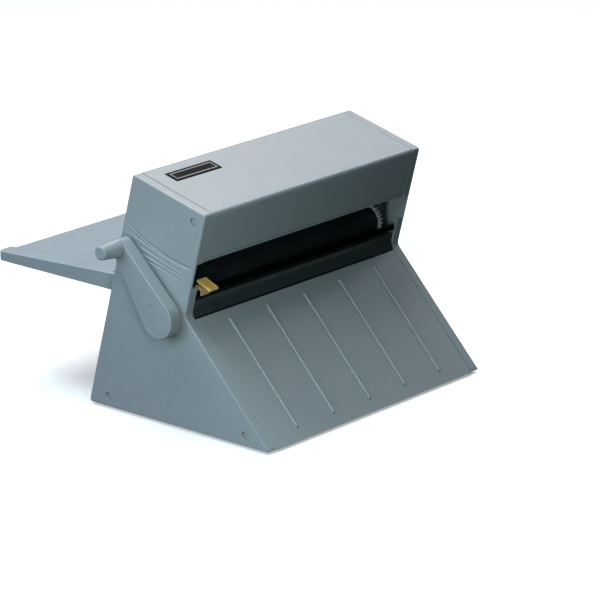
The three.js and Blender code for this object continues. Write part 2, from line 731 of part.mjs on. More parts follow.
const lowerAxis = [0, NIP_Y, LOWER_ROLLER_Z];
const upperAxis = [0, NIP_Y, UPPER_ROLLER_Z];
addPiece('lower_roller_shaft', shaft(-CRANK_SHAFT_END, SHAFT_END), 'steel', { at: lowerAxis });
addPiece('lower_roller_sleeve', sleeve(), 'blackRubber', { at: lowerAxis });
addPiece('lower_gear', spurGear(0.25), 'palePlastic', { at: lowerAxis });
addPiece('upper_roller_shaft', shaft(-SHAFT_END, SHAFT_END), 'steel', { at: upperAxis });
addPiece('upper_roller_sleeve', sleeve(), 'blackRubber', { at: upperAxis });
addPiece('upper_gear', spurGear(0.25), 'palePlastic', { at: upperAxis });

// A flanged bronze bush in the left frame plate; its flange is inside.
const bushFlangeEnd = -FRAME_INSIDE + GAP + 2;
const bushProfile = [
  [SHAFT_RADIUS + GAP, -SHAFT_END],
  [BUSH_RADIUS, -SHAFT_END],
  [BUSH_RADIUS, -FRAME_INSIDE + GAP],
  [BUSH_RADIUS + 3, -FRAME_INSIDE + GAP],
  [BUSH_RADIUS + 3, bushFlangeEnd],
  [SHAFT_RADIUS + GAP, bushFlangeEnd],
  [SHAFT_RADIUS + GAP, -SHAFT_END],
];
addPiece('lower_bush_left', turnedX(bushProfile), 'bronze', { at: lowerAxis });
addPiece('lower_bush_right', mirroredX(turnedX(bushProfile)), 'bronze', { at: lowerAxis });

// A bearing block that slides in the frame plate's window, with a peg that centres the spring.
const BLOCK_LENGTH = 6;
const SPRING_RADIUS = 3.5;
const SPRING_WIRE_RADIUS = 0.6;
const SPRING_TURNS = 4;
const BLOCK_CENTRE_X = FRAME_INSIDE + FRAME_THICKNESS / 2;

function bearingBlock() {
  const block = boxBetween(
    [-BLOCK_LENGTH / 2, NIP_Y - BLOCK_HALF_WIDTH, BLOCK_BOTTOM],
    [BLOCK_LENGTH / 2, NIP_Y + BLOCK_HALF_WIDTH, BLOCK_TOP],
  );
  const pegRadius = 2.4;
  const pegProfile = [
    [0, BLOCK_TOP - 1],
    [pegRadius, BLOCK_TOP - 1],
    [pegRadius, BLOCK_TOP + 3],
    [0, BLOCK_TOP + 3],
  ];
  const peg = turnedZ(pegProfile, 12).translate(0, NIP_Y, 0);
  const bore = cylinderX(SHAFT_RADIUS + GAP, -BLOCK_LENGTH, BLOCK_LENGTH, [NIP_Y, UPPER_ROLLER_Z]);
  return cut(join(block, peg), bore);
}

class SpringCurve extends THREE.Curve {
  getPoint(t, target = new THREE.Vector3()) {
    const angle = t * SPRING_TURNS * 2 * Math.PI;
    const low = BLOCK_TOP + GAP + SPRING_WIRE_RADIUS;
    const high = SPRING_TOP - SPRING_WIRE_RADIUS;
    return target.set(
      SPRING_RADIUS * Math.cos(angle),
      NIP_Y + SPRING_RADIUS * Math.sin(angle),
      low + (high - low) * t,
    );
  }
}

function pressureSpring() {
  return new THREE.ExtrudeGeometry(polygonShape(circlePoints(SPRING_WIRE_RADIUS, 0, 0, 5)), {
    steps: SPRING_TURNS * 10,
    extrudePath: new SpringCurve(),
    bevelEnabled: false,
  });
}

for (const [side, name] of [[-1, 'left'], [1, 'right']]) {
  const at = [side * BLOCK_CENTRE_X, 0, 0];
  addPiece(`upper_bearing_${name}`, bearingBlock(), 'palePlastic', { at });
  addPiece(`pressure_spring_${name}`, pressureSpring(), 'steel', { at });
}

// ---------------------------------------------------------------------------------------------
// Film rolls and the film that runs from each to the nip
// ---------------------------------------------------------------------------------------------

const FILM_HALF = FILM_WIDTH / 2;
const CORE_WALL = 2.5;
const CORE_OVERHANG = 1.5;
const HUB_DEPTH = 15;
const hubFlangeEnd = -FILM_HALF - CORE_OVERHANG - GAP;
const hubBore = FILM_CORE_RADIUS - CORE_WALL - GAP;

// A plug in the left end of a core, with the axle stub that turns in the frame plate.
const hubProfile = [
  [0, -FRAME_INSIDE - FRAME_THICKNESS - 2],
  [FILM_AXLE_RADIUS, -FRAME_INSIDE - FRAME_THICKNESS - 2],
  [FILM_AXLE_RADIUS, hubFlangeEnd - 2],
  [FILM_CORE_RADIUS + 3, hubFlangeEnd - 2],
  [FILM_CORE_RADIUS + 3, hubFlangeEnd],
  [hubBore, hubFlangeEnd],
  [hubBore, hubFlangeEnd + HUB_DEPTH],
  [0, hubFlangeEnd + HUB_DEPTH],
];

function addFilmRoll(name, axis) {
  const at = [0, ...axis];
  const coreEnd = FILM_HALF + CORE_OVERHANG;
  addPiece(`${name}_film`, tubeX(FILM_ROLL_RADIUS, FILM_CORE_RADIUS + GAP, -FILM_HALF, FILM_HALF, 32),
    'clearFilm', { at });
  addPiece(`${name}_film_core`, tubeX(FILM_CORE_RADIUS, FILM_CORE_RADIUS - CORE_WALL, -coreEnd, coreEnd),
    'card', { at });
  addPiece(`${name}_film_hub_left`, turnedX(hubProfile), 'blackPlastic', { at });
  addPiece(`${name}_film_hub_right`, mirroredX(turnedX(hubProfile)), 'blackPlastic', { at });
}

addFilmRoll('upper', UPPER_FILM_AXIS);
addFilmRoll('lower', LOWER_FILM_AXIS);

// The film leaves the rear of its roll, runs straight to the rear of its nip roller and follows
// that roller round to just short of the nip. `up` is 1 for the upper roller and -1 for the lower.
function filmWeb(filmAxis, rollerZ, up) {
  const clear = GAP + 0.2;
  const rollRadius = FILM_ROLL_RADIUS + clear;
  const wrapRadius = ROLLER_RADIUS + clear;
  const rollUp = up * (filmAxis[1] - rollerZ);
  const rollBack = filmAxis[0] - NIP_Y;
  const distance = Math.hypot(rollBack, rollUp);
  // Angles are measured from straight back towards the film roll's side of the roller.
  const bearing = Math.atan2(rollUp, rollBack);
  const tangent = bearing - Math.acos((wrapRadius - rollRadius) / distance);
  const nipAngle = THREE.MathUtils.degToRad(-68);
  const place = (centre, radius, angle) => [
    centre[0] + radius * Math.cos(angle),
    centre[1] + up * radius * Math.sin(angle),
  ];
  const wrapSteps = 10;
  const inner = [place(filmAxis, rollRadius, tangent)];
  const outer = [place(filmAxis, rollRadius + FILM_THICKNESS, tangent)];
  for (let i = 0; i <= wrapSteps; i += 1) {
    const angle = tangent + ((nipAngle - tangent) * i) / wrapSteps;
    inner.push(place([NIP_Y, rollerZ], wrapRadius, angle));
    outer.push(place([NIP_Y, rollerZ], wrapRadius + FILM_THICKNESS, angle));
  }
  return outward(sweptX([...inner, ...outer.reverse()], -FILM_HALF, FILM_HALF));
}

addPiece('upper_film_web', filmWeb(UPPER_FILM_AXIS, UPPER_ROLLER_Z, 1), 'clearFilm');
addPiece('lower_film_web', filmWeb(LOWER_FILM_AXIS, LOWER_ROLLER_Z, -1), 'clearFilm');

// ---------------------------------------------------------------------------------------------
// Feed guide and exit ramp
// ---------------------------------------------------------------------------------------------

const GUIDE_FRONT = 33;
const GUIDE_REAR = 92;
const guideProfile = [
  [GUIDE_FRONT, GUIDE_TOP - 2],
  [GUIDE_REAR - 8, GUIDE_TOP - 2],
  [GUIDE_REAR - 8, GUIDE_TOP - 14],
  [GUIDE_REAR - 6, GUIDE_TOP - 14],
  [GUIDE_REAR - 6, GUIDE_TOP - 2],
  [GUIDE_REAR, GUIDE_TOP - 2],
  [GUIDE_REAR, GUIDE_TOP],
  [GUIDE_FRONT + 2, GUIDE_TOP],
];
const guideEnd = FRAME_INSIDE - GAP;
addPiece('feed_guide', sweptX(guideProfile, -guideEnd, guideEnd), 'blackPlastic');

// The black ramp under the exit. Its grooved top is the anvil that the blade cuts over.
const BLADE_SLOT = { front: -10.4, rear: -7.8, depth: 3 };
const rampProfile = [
  [-3, 143.3],
  [BLADE_SLOT.rear, ANVIL_TOP],
  [BLADE_SLOT.rear, ANVIL_TOP - BLADE_SLOT.depth],
  [BLADE_SLOT.front, ANVIL_TOP - BLADE_SLOT.depth],
  [BLADE_SLOT.front, ANVIL_TOP],
  [-14.5, ANVIL_TOP],
  [-15.4, ANVIL_TOP - 1],
  [-14.2, 141],
  [-13.3, 136.5],
  [-13.8, 131],
  [-15.9, 126.2],
  [-13.4, 124.6],
  [-11, 130],
  [-10.2, 136],
  [-10.2, 139.9],
  [-4.2, 139.9],
];
addPiece('exit_ramp', sweptX(rampProfile, -INSIDE_CAPS, INSIDE_CAPS), 'blackPlastic');

// ---------------------------------------------------------------------------------------------
// Cutter: a rail across the exit, and the slide that carries the blade along it
// ---------------------------------------------------------------------------------------------

const railBar = sweptX(roundedShape([
  [RAIL.front, RAIL.bottom],
  [RAIL.rear, RAIL.bottom],
  [RAIL.rear, RAIL.top],
  [RAIL.front, RAIL.top],
], 0.8), -INSIDE_CAPS, INSIDE_CAPS);
addPiece('cutter_rail', railBar, 'blackPlastic');

const CARRIAGE_LEG = 2.4;
const CARRIAGE_TOP = RAIL.top + 5.5;
const BLADE_THICKNESS = 0.6;

function cutterCarriage() {
  const profile = [
    [RAIL.rear + GAP, RAIL.bottom + 1],
    [RAIL.rear + GAP + CARRIAGE_LEG, RAIL.bottom + 1],
    [RAIL.rear + GAP + CARRIAGE_LEG, CARRIAGE_TOP - 1],
    [RAIL.rear + GAP, CARRIAGE_TOP],
    [RAIL.front - GAP - CARRIAGE_LEG, CARRIAGE_TOP - 3],
    [RAIL.front - GAP - CARRIAGE_LEG, RAIL.bottom + 0.5],
    [RAIL.front - GAP, RAIL.bottom + 0.5],
    [RAIL.front - GAP, RAIL.top + GAP],
    [RAIL.rear + GAP, RAIL.top + GAP],
  ];
  return outward(sweptX(profile, -CUTTER_WIDTH / 2, CUTTER_WIDTH / 2));
}

addPiece('cutter_carriage', cutterCarriage(), 'yellowPlastic', { at: [CUTTER_X, 0, 0] });

// The sloping finger tab on top of the carriage.
const TAB_CENTRE = [-23, 162.8];
const tab = sweptX(roundedShape([
  [-TAB_LENGTH / 2, -TAB_THICKNESS / 2],
  [TAB_LENGTH / 2, -TAB_THICKNESS / 2],
  [TAB_LENGTH / 2, TAB_THICKNESS / 2],
  [-TAB_LENGTH / 2, TAB_THICKNESS / 2],
], 0.9), -CUTTER_WIDTH / 2, CUTTER_WIDTH / 2);
const tabMesh = addPiece('cutter_tab', tab, 'yellowPlastic', { at: [CUTTER_X, ...TAB_CENTRE] });
tabMesh.rotation.x = TAB_SLOPE;

const bladeFront = RAIL.rear + GAP + CARRIAGE_LEG + GAP;
const bladeOutline = [
  [-4.5, RAIL.bottom + 8],
  [-4.5, RAIL.bottom],
  [0.5, ANVIL_TOP - BLADE_SLOT.depth + 0.8],
  [4.5, RAIL.bottom],
  [4.5, RAIL.bottom + 8],
];
const blade = new THREE.ExtrudeGeometry(polygonShape(bladeOutline), {
  depth: BLADE_THICKNESS,
  bevelEnabled: false,
}).rotateX(Math.PI / 2).translate(0, bladeFront + BLADE_THICKNESS, 0);
addPiece('cutter_blade', outward(blade), 'steel', { at: [CUTTER_X, 0, 0] });

// ---------------------------------------------------------------------------------------------
// Crank arm, knob and its pin
// ---------------------------------------------------------------------------------------------

// The outline round two circles and their two outer tangents.
function taperedArm(from, fromRadius, to, toRadius) {
  const distance = Math.hypot(to[0] - from[0], to[1] - from[1]);
  const bearing = Math.atan2(to[1] - from[1], to[0] - from[0]);
  const lean = Math.acos((fromRadius - toRadius) / distance);
  const arc = (centre, radius, start, end, steps) => (
    Array.from({ length: steps + 1 }, (_, i) => {
      const angle = start + ((end - start) * i) / steps;
      return [centre[0] + radius * Math.cos(angle), centre[1] + radius * Math.sin(angle)];
    })
  );
  return [
    ...arc(from, fromRadius, bearing + lean, bearing + 2 * Math.PI - lean, 24),
    ...arc(to, toRadius, bearing - lean, bearing + lean, 12),
  ];
}

const CRANK_AXIS = [NIP_Y, LOWER_ROLLER_Z];
const CRANK_REACH = [CRANK_TIP[0] - CRANK_AXIS[0], CRANK_TIP[1] - CRANK_AXIS[1]];

function crankArm() {
  const blank = sweptX(
    taperedArm([0, 0], CRANK_HUB_RADIUS, CRANK_REACH, CRANK_TIP_RADIUS),
    CRANK_FACE,
    CRANK_BACK,
  );
  const boss = cylinderX(11, CRANK_BACK - 1, -HALF_WIDTH - GAP);
  const shaftBore = cylinderX(SHAFT_RADIUS + GAP, -CRANK_SHAFT_END - GAP, -HALF_WIDTH);
  const pinBore = cylinderX(KNOB_PIN_RADIUS + GAP, CRANK_FACE - 1, CRANK_BACK - 2, CRANK_REACH, 16);
  return cut(join(blank, boss), shaftBore, pinBore);
}

addPiece('crank_arm', crankArm(), 'greyPlastic', { at: [0, ...CRANK_AXIS] });

const KNOB_BASE = CRANK_FACE - GAP;
const KNOB_END = KNOB_BASE - KNOB_LENGTH;
const KNOB_BORE_END = KNOB_END + 5;

// A tapered knob with a rounded end and a blind bore for its pin.
function knob() {
  const roundRadius = 2;
  const roundSteps = 3;
  const profile = [
    [0, KNOB_BORE_END],
    [KNOB_PIN_RADIUS + GAP, KNOB_BORE_END],
    [KNOB_PIN_RADIUS + GAP, KNOB_BASE],
    [KNOB_BASE_RADIUS - 0.6, KNOB_BASE],
    [KNOB_BASE_RADIUS, KNOB_BASE - 0.8],
  ];
  for (let i = 0; i <= roundSteps; i += 1) {
    const angle = (i / roundSteps) * (Math.PI / 2);
    profile.push([
      KNOB_TIP_RADIUS - roundRadius + roundRadius * Math.cos(angle),
      KNOB_END + roundRadius - roundRadius * Math.sin(angle),
    ]);
  }
  profile.push([0, KNOB_END]);
  return turnedX(profile, 20);
}

addPiece('crank_knob', knob(), 'greyPlastic', { at: [0, ...CRANK_TIP] });
const knobPin = cylinderX(KNOB_PIN_RADIUS, KNOB_BORE_END + GAP, CRANK_BACK - 2 - GAP, [0, 0], 16);
addPiece('knob_pin', knobPin, 'steel', { at: [0, ...CRANK_TIP] });

// ---------------------------------------------------------------------------------------------
// Feed tray and its hinge pins
// ---------------------------------------------------------------------------------------------

const TRAY_FLOOR_FRONT = 149.6;
const TRAY_FLOOR_REAR = 140.8;
const TRAY_RAIL_RISE = 3;
const TRAY_SKIN = 2.5;
const TRAY_CORNER = 9;

function feedTray() {
  const floor = sweptX([
    [TRAY_FRONT, TRAY_FLOOR_FRONT - TRAY_SKIN],
    [TRAY_REAR, TRAY_FLOOR_REAR - TRAY_SKIN],
    [TRAY_REAR, TRAY_FLOOR_REAR],
    [TRAY_FRONT, TRAY_FLOOR_FRONT],
  ], -TRAY_HALF_WIDTH, TRAY_HALF_WIDTH);
  const railProfile = [
    [TRAY_FRONT, TRAY_BOTTOM],
    [TRAY_REAR, TRAY_BOTTOM],
    [TRAY_REAR, TRAY_FLOOR_REAR + TRAY_RAIL_RISE],
    [TRAY_FRONT, TRAY_FLOOR_FRONT + TRAY_RAIL_RISE],
  ];
  const rails = [-TRAY_HALF_WIDTH, TRAY_HALF_WIDTH - TRAY_RAIL_WIDTH].map((x) => (
    sweptX(railProfile, x, x + TRAY_RAIL_WIDTH)
  ));
  // The raised bands beside the document.
  const bandProfile = [
    [TRAY_FRONT, TRAY_FLOOR_FRONT - 1],
    [TRAY_REAR, TRAY_FLOOR_REAR - 1],
    [TRAY_REAR, TRAY_FLOOR_REAR + TRAY_RAIL_RISE],
    [TRAY_FRONT, TRAY_FLOOR_FRONT + TRAY_RAIL_RISE],
  ];
  const bands = [-TRAY_HALF_WIDTH, TRAY_HALF_WIDTH - TRAY_BAND_WIDTH].map((x) => (
    sweptX(bandProfile, x, x + TRAY_BAND_WIDTH)
  ));
  const rearLip = sweptX([
    [TRAY_REAR - 5, TRAY_BOTTOM],
    [TRAY_REAR, TRAY_BOTTOM],
    [TRAY_REAR, TRAY_FLOOR_REAR],
    [TRAY_REAR - 5, TRAY_FLOOR_REAR - 0.5],
  ], -TRAY_HALF_WIDTH, TRAY_HALF_WIDTH);
  const stiffeners = [-80, 0, 80].map((x) => sweptX([
    [TRAY_FRONT + 6, TRAY_BOTTOM + 4],
    [TRAY_REAR - 4, TRAY_BOTTOM + 2],
    [TRAY_REAR - 4, TRAY_FLOOR_REAR - 1],
    [TRAY_FRONT + 6, TRAY_FLOOR_FRONT - 1.5],
  ], x - 1.25, x + 1.25));
  const plan = new THREE.Shape();
  plan.moveTo(-TRAY_HALF_WIDTH, TRAY_FRONT);
  plan.lineTo(TRAY_HALF_WIDTH, TRAY_FRONT);
  plan.lineTo(TRAY_HALF_WIDTH, TRAY_REAR - TRAY_CORNER);
  plan.quadraticCurveTo(TRAY_HALF_WIDTH, TRAY_REAR, TRAY_HALF_WIDTH - TRAY_CORNER, TRAY_REAR);
  plan.lineTo(-TRAY_HALF_WIDTH + TRAY_CORNER, TRAY_REAR);
  plan.quadraticCurveTo(-TRAY_HALF_WIDTH, TRAY_REAR, -TRAY_HALF_WIDTH, TRAY_REAR - TRAY_CORNER);
  plan.closePath();
  const planBlock = new THREE.ExtrudeGeometry(plan, { depth: 40, bevelEnabled: false, curveSegments: 3 })
    .translate(0, 0, TRAY_BOTTOM - 10);
  const whole = common(join(floor, ...rails, ...bands, rearLip, ...stiffeners), planBlock);
  const lugSides = [TRAY_LUG_INSIDE - GAP, TRAY_LUG_INSIDE + TRAY_LUG_WIDTH + GAP];
  const lugReach = 12; // the swept room round the hinge axis
  const lugRoom = [-1, 1].map((side) => boxBetween(
    [Math.min(...lugSides.map((x) => side * x)), TRAY_FRONT - 1, TRAY_HINGE[1] - lugReach],
    [Math.max(...lugSides.map((x) => side * x)), TRAY_HINGE[0] + lugReach, TRAY_HINGE[1] + lugReach],
  ));
  const pinBore = cylinderX(TRAY_PIN_RADIUS + TRAY_PIN_CLEARANCE, -INSIDE_CAPS, INSIDE_CAPS, TRAY_HINGE, 12);
  return cut(whole, ...lugRoom, pinBore);
}

addPiece('feed_tray', feedTray(), 'greyPlastic');

for (const [side, name] of [[-1, 'left'], [1, 'right']]) {
  const ends = [side * TRAY_LUG_INSIDE, side * TRAY_HALF_WIDTH].sort((a, b) => a - b);
  const pin = cylinderX(TRAY_PIN_RADIUS, ...ends, [0, 0], 12);
  addPiece(`tray_hinge_pin_${name}`, pin, 'steel', { at: [0, ...TRAY_HINGE] });
}

// ---------------------------------------------------------------------------------------------
// The origin: the middle of the whole machine's footprint, at the bottom of its feet
// ---------------------------------------------------------------------------------------------

const laminator = new THREE.Group();
machine.position.set(
  -(KNOB_END + HALF_WIDTH) / 2,
  -(BASE_FRONT[0] + TRAY_REAR) / 2,
  FOOT_HEIGHT,
);
laminator.add(machine);

export default laminator;
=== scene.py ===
import json
import math

import bmesh
import bpy
from mathutils import Matrix, Vector

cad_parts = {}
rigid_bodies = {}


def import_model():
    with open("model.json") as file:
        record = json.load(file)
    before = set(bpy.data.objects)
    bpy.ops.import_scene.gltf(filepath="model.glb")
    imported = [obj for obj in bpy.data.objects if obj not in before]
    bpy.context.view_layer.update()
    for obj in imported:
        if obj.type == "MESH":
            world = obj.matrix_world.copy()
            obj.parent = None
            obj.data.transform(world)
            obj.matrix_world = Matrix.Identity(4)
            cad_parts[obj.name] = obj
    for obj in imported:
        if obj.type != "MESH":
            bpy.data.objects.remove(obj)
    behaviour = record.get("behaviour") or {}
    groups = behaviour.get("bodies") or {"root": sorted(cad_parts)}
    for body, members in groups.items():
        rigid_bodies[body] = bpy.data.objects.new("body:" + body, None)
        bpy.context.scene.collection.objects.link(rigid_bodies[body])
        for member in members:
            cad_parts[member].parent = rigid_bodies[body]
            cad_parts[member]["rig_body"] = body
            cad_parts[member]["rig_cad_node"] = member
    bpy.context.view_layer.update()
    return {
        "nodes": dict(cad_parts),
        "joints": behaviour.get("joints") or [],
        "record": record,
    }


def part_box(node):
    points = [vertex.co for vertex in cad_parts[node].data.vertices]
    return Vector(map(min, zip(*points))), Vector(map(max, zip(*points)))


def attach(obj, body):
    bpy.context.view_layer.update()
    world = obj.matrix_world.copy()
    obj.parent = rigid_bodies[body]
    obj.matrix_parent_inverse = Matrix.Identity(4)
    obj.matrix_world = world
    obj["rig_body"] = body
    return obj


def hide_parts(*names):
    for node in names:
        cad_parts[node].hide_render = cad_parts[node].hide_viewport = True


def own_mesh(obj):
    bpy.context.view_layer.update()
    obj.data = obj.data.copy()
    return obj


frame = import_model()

bl_info = {
    "name": "Hand-cranked roll laminator",
    "version": (1, 0, 0),
    "blender": (4, 5, 0),
    "location": "3D View > Sidebar > Laminator",
    "description": "Shapes and finishes of a hand-cranked roll laminator",
    "category": "Object",
}

MM = 0.001

# ---------------------------------------------------------------------------------------------
# Places read from the frame
# ---------------------------------------------------------------------------------------------

LEFT_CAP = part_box("left_end_cap")
RIGHT_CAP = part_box("right_end_cap")
FRONT_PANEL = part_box("front_panel")
BASE_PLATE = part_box("base_plate")
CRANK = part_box("crank_arm")
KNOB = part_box("crank_knob")
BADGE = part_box("badge")

BASE_HALF_DEPTH = 134 * MM
MIDDLE_X = (LEFT_CAP[0].x + RIGHT_CAP[1].x) / 2
SIDE_X = {"left": LEFT_CAP[0].x, "right": RIGHT_CAP[1].x}
MIDDLE_Y = FRONT_PANEL[0].y + BASE_HALF_DEPTH
UNDERSIDE = BASE_PLATE[0].z
HEAD_TILT = math.radians(14.5)
JOINTS = {joint["name"]: joint for joint in frame["joints"]}
CRANK_AXIS = Vector(JOINTS["crank_turn"]["pos_m"])


def on_side(y, z, x=0.0):
    """A point of the case's side, in millimetres behind its middle and above its underside."""
    return Vector((x, MIDDLE_Y + y * MM, UNDERSIDE + z * MM))


# ---------------------------------------------------------------------------------------------
# Modelling helpers
# ---------------------------------------------------------------------------------------------


def only(obj):
    """Selects one object and nothing else."""
    bpy.ops.object.select_all(action="DESELECT")
    obj.select_set(True)
    bpy.context.view_layer.objects.active = obj
    return obj


def edit(obj):
    only(obj)
    bpy.ops.object.mode_set(mode="EDIT")
    bpy.ops.mesh.select_all(action="DESELECT")
    return bmesh.from_edit_mesh(obj.data)


def leave(obj):
    bpy.ops.object.mode_set(mode="OBJECT")
    return obj


def chosen_edges(obj, test):
    """In edit mode, selects the edges that pass a test."""
    bpy.context.tool_settings.mesh_select_mode = (False, True, False)
    shape = bmesh.from_edit_mesh(obj.data)
    bpy.ops.mesh.select_all(action="DESELECT")
    for edge in shape.edges:
        edge.select = bool(edge.is_manifold and test(edge))
    bmesh.update_edit_mesh(obj.data)
    return sum(edge.select for edge in shape.edges)


def chosen_faces(obj, test):
    """In edit mode, selects the faces that pass a test."""
    bpy.context.tool_settings.mesh_select_mode = (False, False, True)
    shape = bmesh.from_edit_mesh(obj.data)
    bpy.ops.mesh.select_all(action="DESELECT")
    for face in shape.faces:
        face.select = bool(test(face))
    shape.select_flush_mode()
    bmesh.update_edit_mesh(obj.data)
    return sum(face.select for face in shape.faces)


def sharp(edge, degrees=30):
    return edge.calc_face_angle(0.0) > math.radians(degrees)


def with_modifier(obj, kind, **settings):
    """Adds a modifier, sets it and applies it."""
    only(obj)
    bpy.ops.object.modifier_add(type=kind)
    modifier = obj.modifiers[-1]
    for key, value in settings.items():
        setattr(modifier, key, value)
    bpy.ops.object.modifier_apply(modifier=modifier.name)
    return obj


def copy_of_node(node, name):
    """A merged copy of a CAD node with its flat faces made whole, ready to be shaped."""
    only(frame["nodes"][node])
    bpy.ops.object.duplicate()
    piece = bpy.context.object
    piece.name = name
    body = piece["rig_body"]
    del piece["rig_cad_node"]
    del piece["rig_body"]
    bpy.ops.object.parent_clear(type="CLEAR_KEEP_TRANSFORM")
    piece.data.materials.clear()
    bpy.ops.mesh.customdata_custom_splitnormals_clear()
    edit(piece)
    bpy.ops.mesh.select_all(action="SELECT")
    bpy.ops.mesh.remove_doubles(threshold=0.01 * MM)
    bpy.ops.mesh.dissolve_limited(angle_limit=math.radians(0.5))
    leave(piece)
    return piece, body


def ease_edges(piece, width, angle=32, segments=2, test=None):
    """Rounds the sharp edges by a radius in millimetres, where the neighbouring edges leave room for it."""
    width = width * MM
    edit(piece)

    def has_room(edge):
        return all(other.calc_length() > 2.2 * width for vertex in edge.verts for other in vertex.link_edges)

    wanted = test or (lambda edge: True)
    count = chosen_edges(piece, lambda edge: sharp(edge, angle) and has_room(edge) and wanted(edge))
    if count:
        bpy.ops.mesh.bevel(offset=width, segments=segments, profile=0.5, affect="EDGES", clamp_overlap=False)
    return leave(piece)


def smooth(piece, angle=38):
    """Shades curves as curves and flat faces as flat."""
    only(piece)
    bpy.ops.object.shade_smooth_by_angle(angle=math.radians(angle))
    with_modifier(piece, "WEIGHTED_NORMAL", keep_sharp=True)
    return piece


def put(piece, node, body, material):
    """The piece stands for a CAD node, rides on its body and takes its finish."""
    piece.data.materials.clear()
    piece.data.materials.append(material)
    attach(piece, body)
    if node:
        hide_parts(node)
    return piece


def loft(name, sections):
    """A solid through matching rings of points, extruded from one ring to the next."""
    bpy.ops.object.select_all(action="DESELECT")
    bpy.ops.mesh.primitive_circle_add(vertices=len(sections[0]), fill_type="NGON", location=(0, 0, 0))
    piece = bpy.context.object
    piece.name = name
    bpy.context.tool_settings.mesh_select_mode = (False, False, True)
    shape = edit(piece)
    shape.faces.ensure_lookup_table()
    ring = [vertex.index for vertex in shape.faces[0].verts]
    shape.verts.ensure_lookup_table()
    for index, point in zip(ring, sections[0]):
        shape.verts[index].co = point
    bmesh.update_edit_mesh(piece.data)
    bpy.ops.mesh.select_all(action="SELECT")
    for section in sections[1:]:
        bpy.ops.mesh.extrude_region_move()
        shape = bmesh.from_edit_mesh(piece.data)
        shape.verts.ensure_lookup_table()
        old = set(ring)
        ring = [
            next(
                other.index
                for other in (edge.other_vert(shape.verts[index]) for edge in shape.verts[index].link_edges)
                if other.select and other.index not in old
            )
            for index in ring
        ]
        for index, point in zip(ring, section):
            shape.verts[index].co = point
        bmesh.update_edit_mesh(piece.data)
    bpy.ops.mesh.select_all(action="SELECT")
    bpy.ops.mesh.normals_make_consistent(inside=False)
    return leave(piece)


def carve(piece, *tools):
    """Cuts tools out of a piece and throws the tools away."""
    for tool in tools:
        with_modifier(piece, "BOOLEAN", operation="DIFFERENCE", object=tool, solver="EXACT")
        bpy.data.objects.remove(tool)
    return piece


def bar_along(name, points, half_width, depth, outward, lift=0.4 * MM):
    """A square bar along a path on a flat face: it stands proud by lift, and reaches in by depth."""
    sections = []
    for i, point in enumerate(points):
        ahead = points[min(i + 1, len(points) - 1)]
        behind = points[max(i - 1, 0)]
        along = (ahead - behind).normalized()
        across = outward.cross(along).normalized() * half_width
        sections.append([
            point - across + outward * lift,
            point + across + outward * lift,
            point + across * 0.35 - outward * depth,
            point - across * 0.35 - outward * depth,
        ])
    return loft(name, sections)


# ---------------------------------------------------------------------------------------------
# Finishes
# ---------------------------------------------------------------------------------------------


class Finish:
    """A material while it is made: its nodes, its shader and the bumps so far."""

    def __init__(self, name, **constants):
        self.material = bpy.data.materials.new(name)
        self.material.use_nodes = True
        self.tree = self.material.node_tree
        self.shader = self.tree.nodes["Principled BSDF"]
        self.height = None
        self.place = self.tree.nodes.new("ShaderNodeTexCoord").outputs["Object"]
        for socket, value in constants.items():
            self.shader.inputs[socket.replace("_", " ")].default_value = value

    def link(self, source, target):
        self.tree.links.new(source, target)

    def stretched(self, stretch):
        node = self.tree.nodes.new("ShaderNodeMapping")
        node.inputs["Scale"].default_value = stretch
        self.link(self.place, node.inputs["Vector"])
        return node.outputs["Vector"]

    def noise(self, scale, detail=3.0, roughness=0.55, stretch=None):
        node = self.tree.nodes.new("ShaderNodeTexNoise")
        node.inputs["Scale"].default_value = scale
        node.inputs["Detail"].default_value = detail
        node.inputs["Roughness"].default_value = roughness
        self.link(self.stretched(stretch) if stretch else self.place, node.inputs["Vector"])
        return node.outputs["Fac"]

    def cells(self, scale, feature="F1", stretch=None):
        node = self.tree.nodes.new("ShaderNodeTexVoronoi")
        node.feature = feature
        node.inputs["Scale"].default_value = scale
        self.link(self.stretched(stretch) if stretch else self.place, node.inputs["Vector"])
        return node.outputs["Distance"]

    def spread(self, value, low, high, to_low=0.0, to_high=1.0):
        node = self.tree.nodes.new("ShaderNodeMapRange")
        for socket, number in zip(("From Min", "From Max", "To Min", "To Max"), (low, high, to_low, to_high)):
            node.inputs[socket].default_value = number
        self.link(value, node.inputs["Value"])
        return node.outputs["Result"]

    def sum(self, first, second, operation="ADD"):
        node = self.tree.nodes.new("ShaderNodeMath")
        node.operation = operation
        for socket, value in zip(node.inputs, (first, second)):
            if isinstance(value, (int, float)):
                socket.default_value = value
            else:
                self.link(value, socket)
        return node.outputs["Value"]

    def height_above(self, axis="Z"):
        node = self.tree.nodes.new("ShaderNodeSeparateXYZ")
        self.link(self.place, node.inputs["Vector"])
        return node.outputs[axis]

    def blend(self, factor, first, second):
        node = self.tree.nodes.new("ShaderNodeMix")
        node.data_type = "RGBA"
        for socket, value in zip(node.inputs[6:8], (first, second)):
            if hasattr(value, "is_linked"):
                self.link(value, socket)
            else:
                socket.default_value = (*value[:3], 1.0)
        self.link(factor, node.inputs["Factor"])
        return node.outputs[2]

    def colour(self, value):
        self.link(value, self.shader.inputs["Base Color"])

    def roughness(self, value):
        self.link(value, self.shader.inputs["Roughness"])

    def bump(self, height, distance, strength=1.0):
        node = self.tree.nodes.new("ShaderNodeBump")
        node.inputs["Distance"].default_value = distance
        node.inputs["Strength"].default_value = strength
        self.link(height, node.inputs["Height"])
        if self.height is not None:
            self.link(self.height, node.inputs["Normal"])
        self.height = node.outputs["Normal"]
        self.link(self.height, self.shader.inputs["Normal"])


def shade(colour, factor):
    return tuple(part * factor for part in colour[:3])


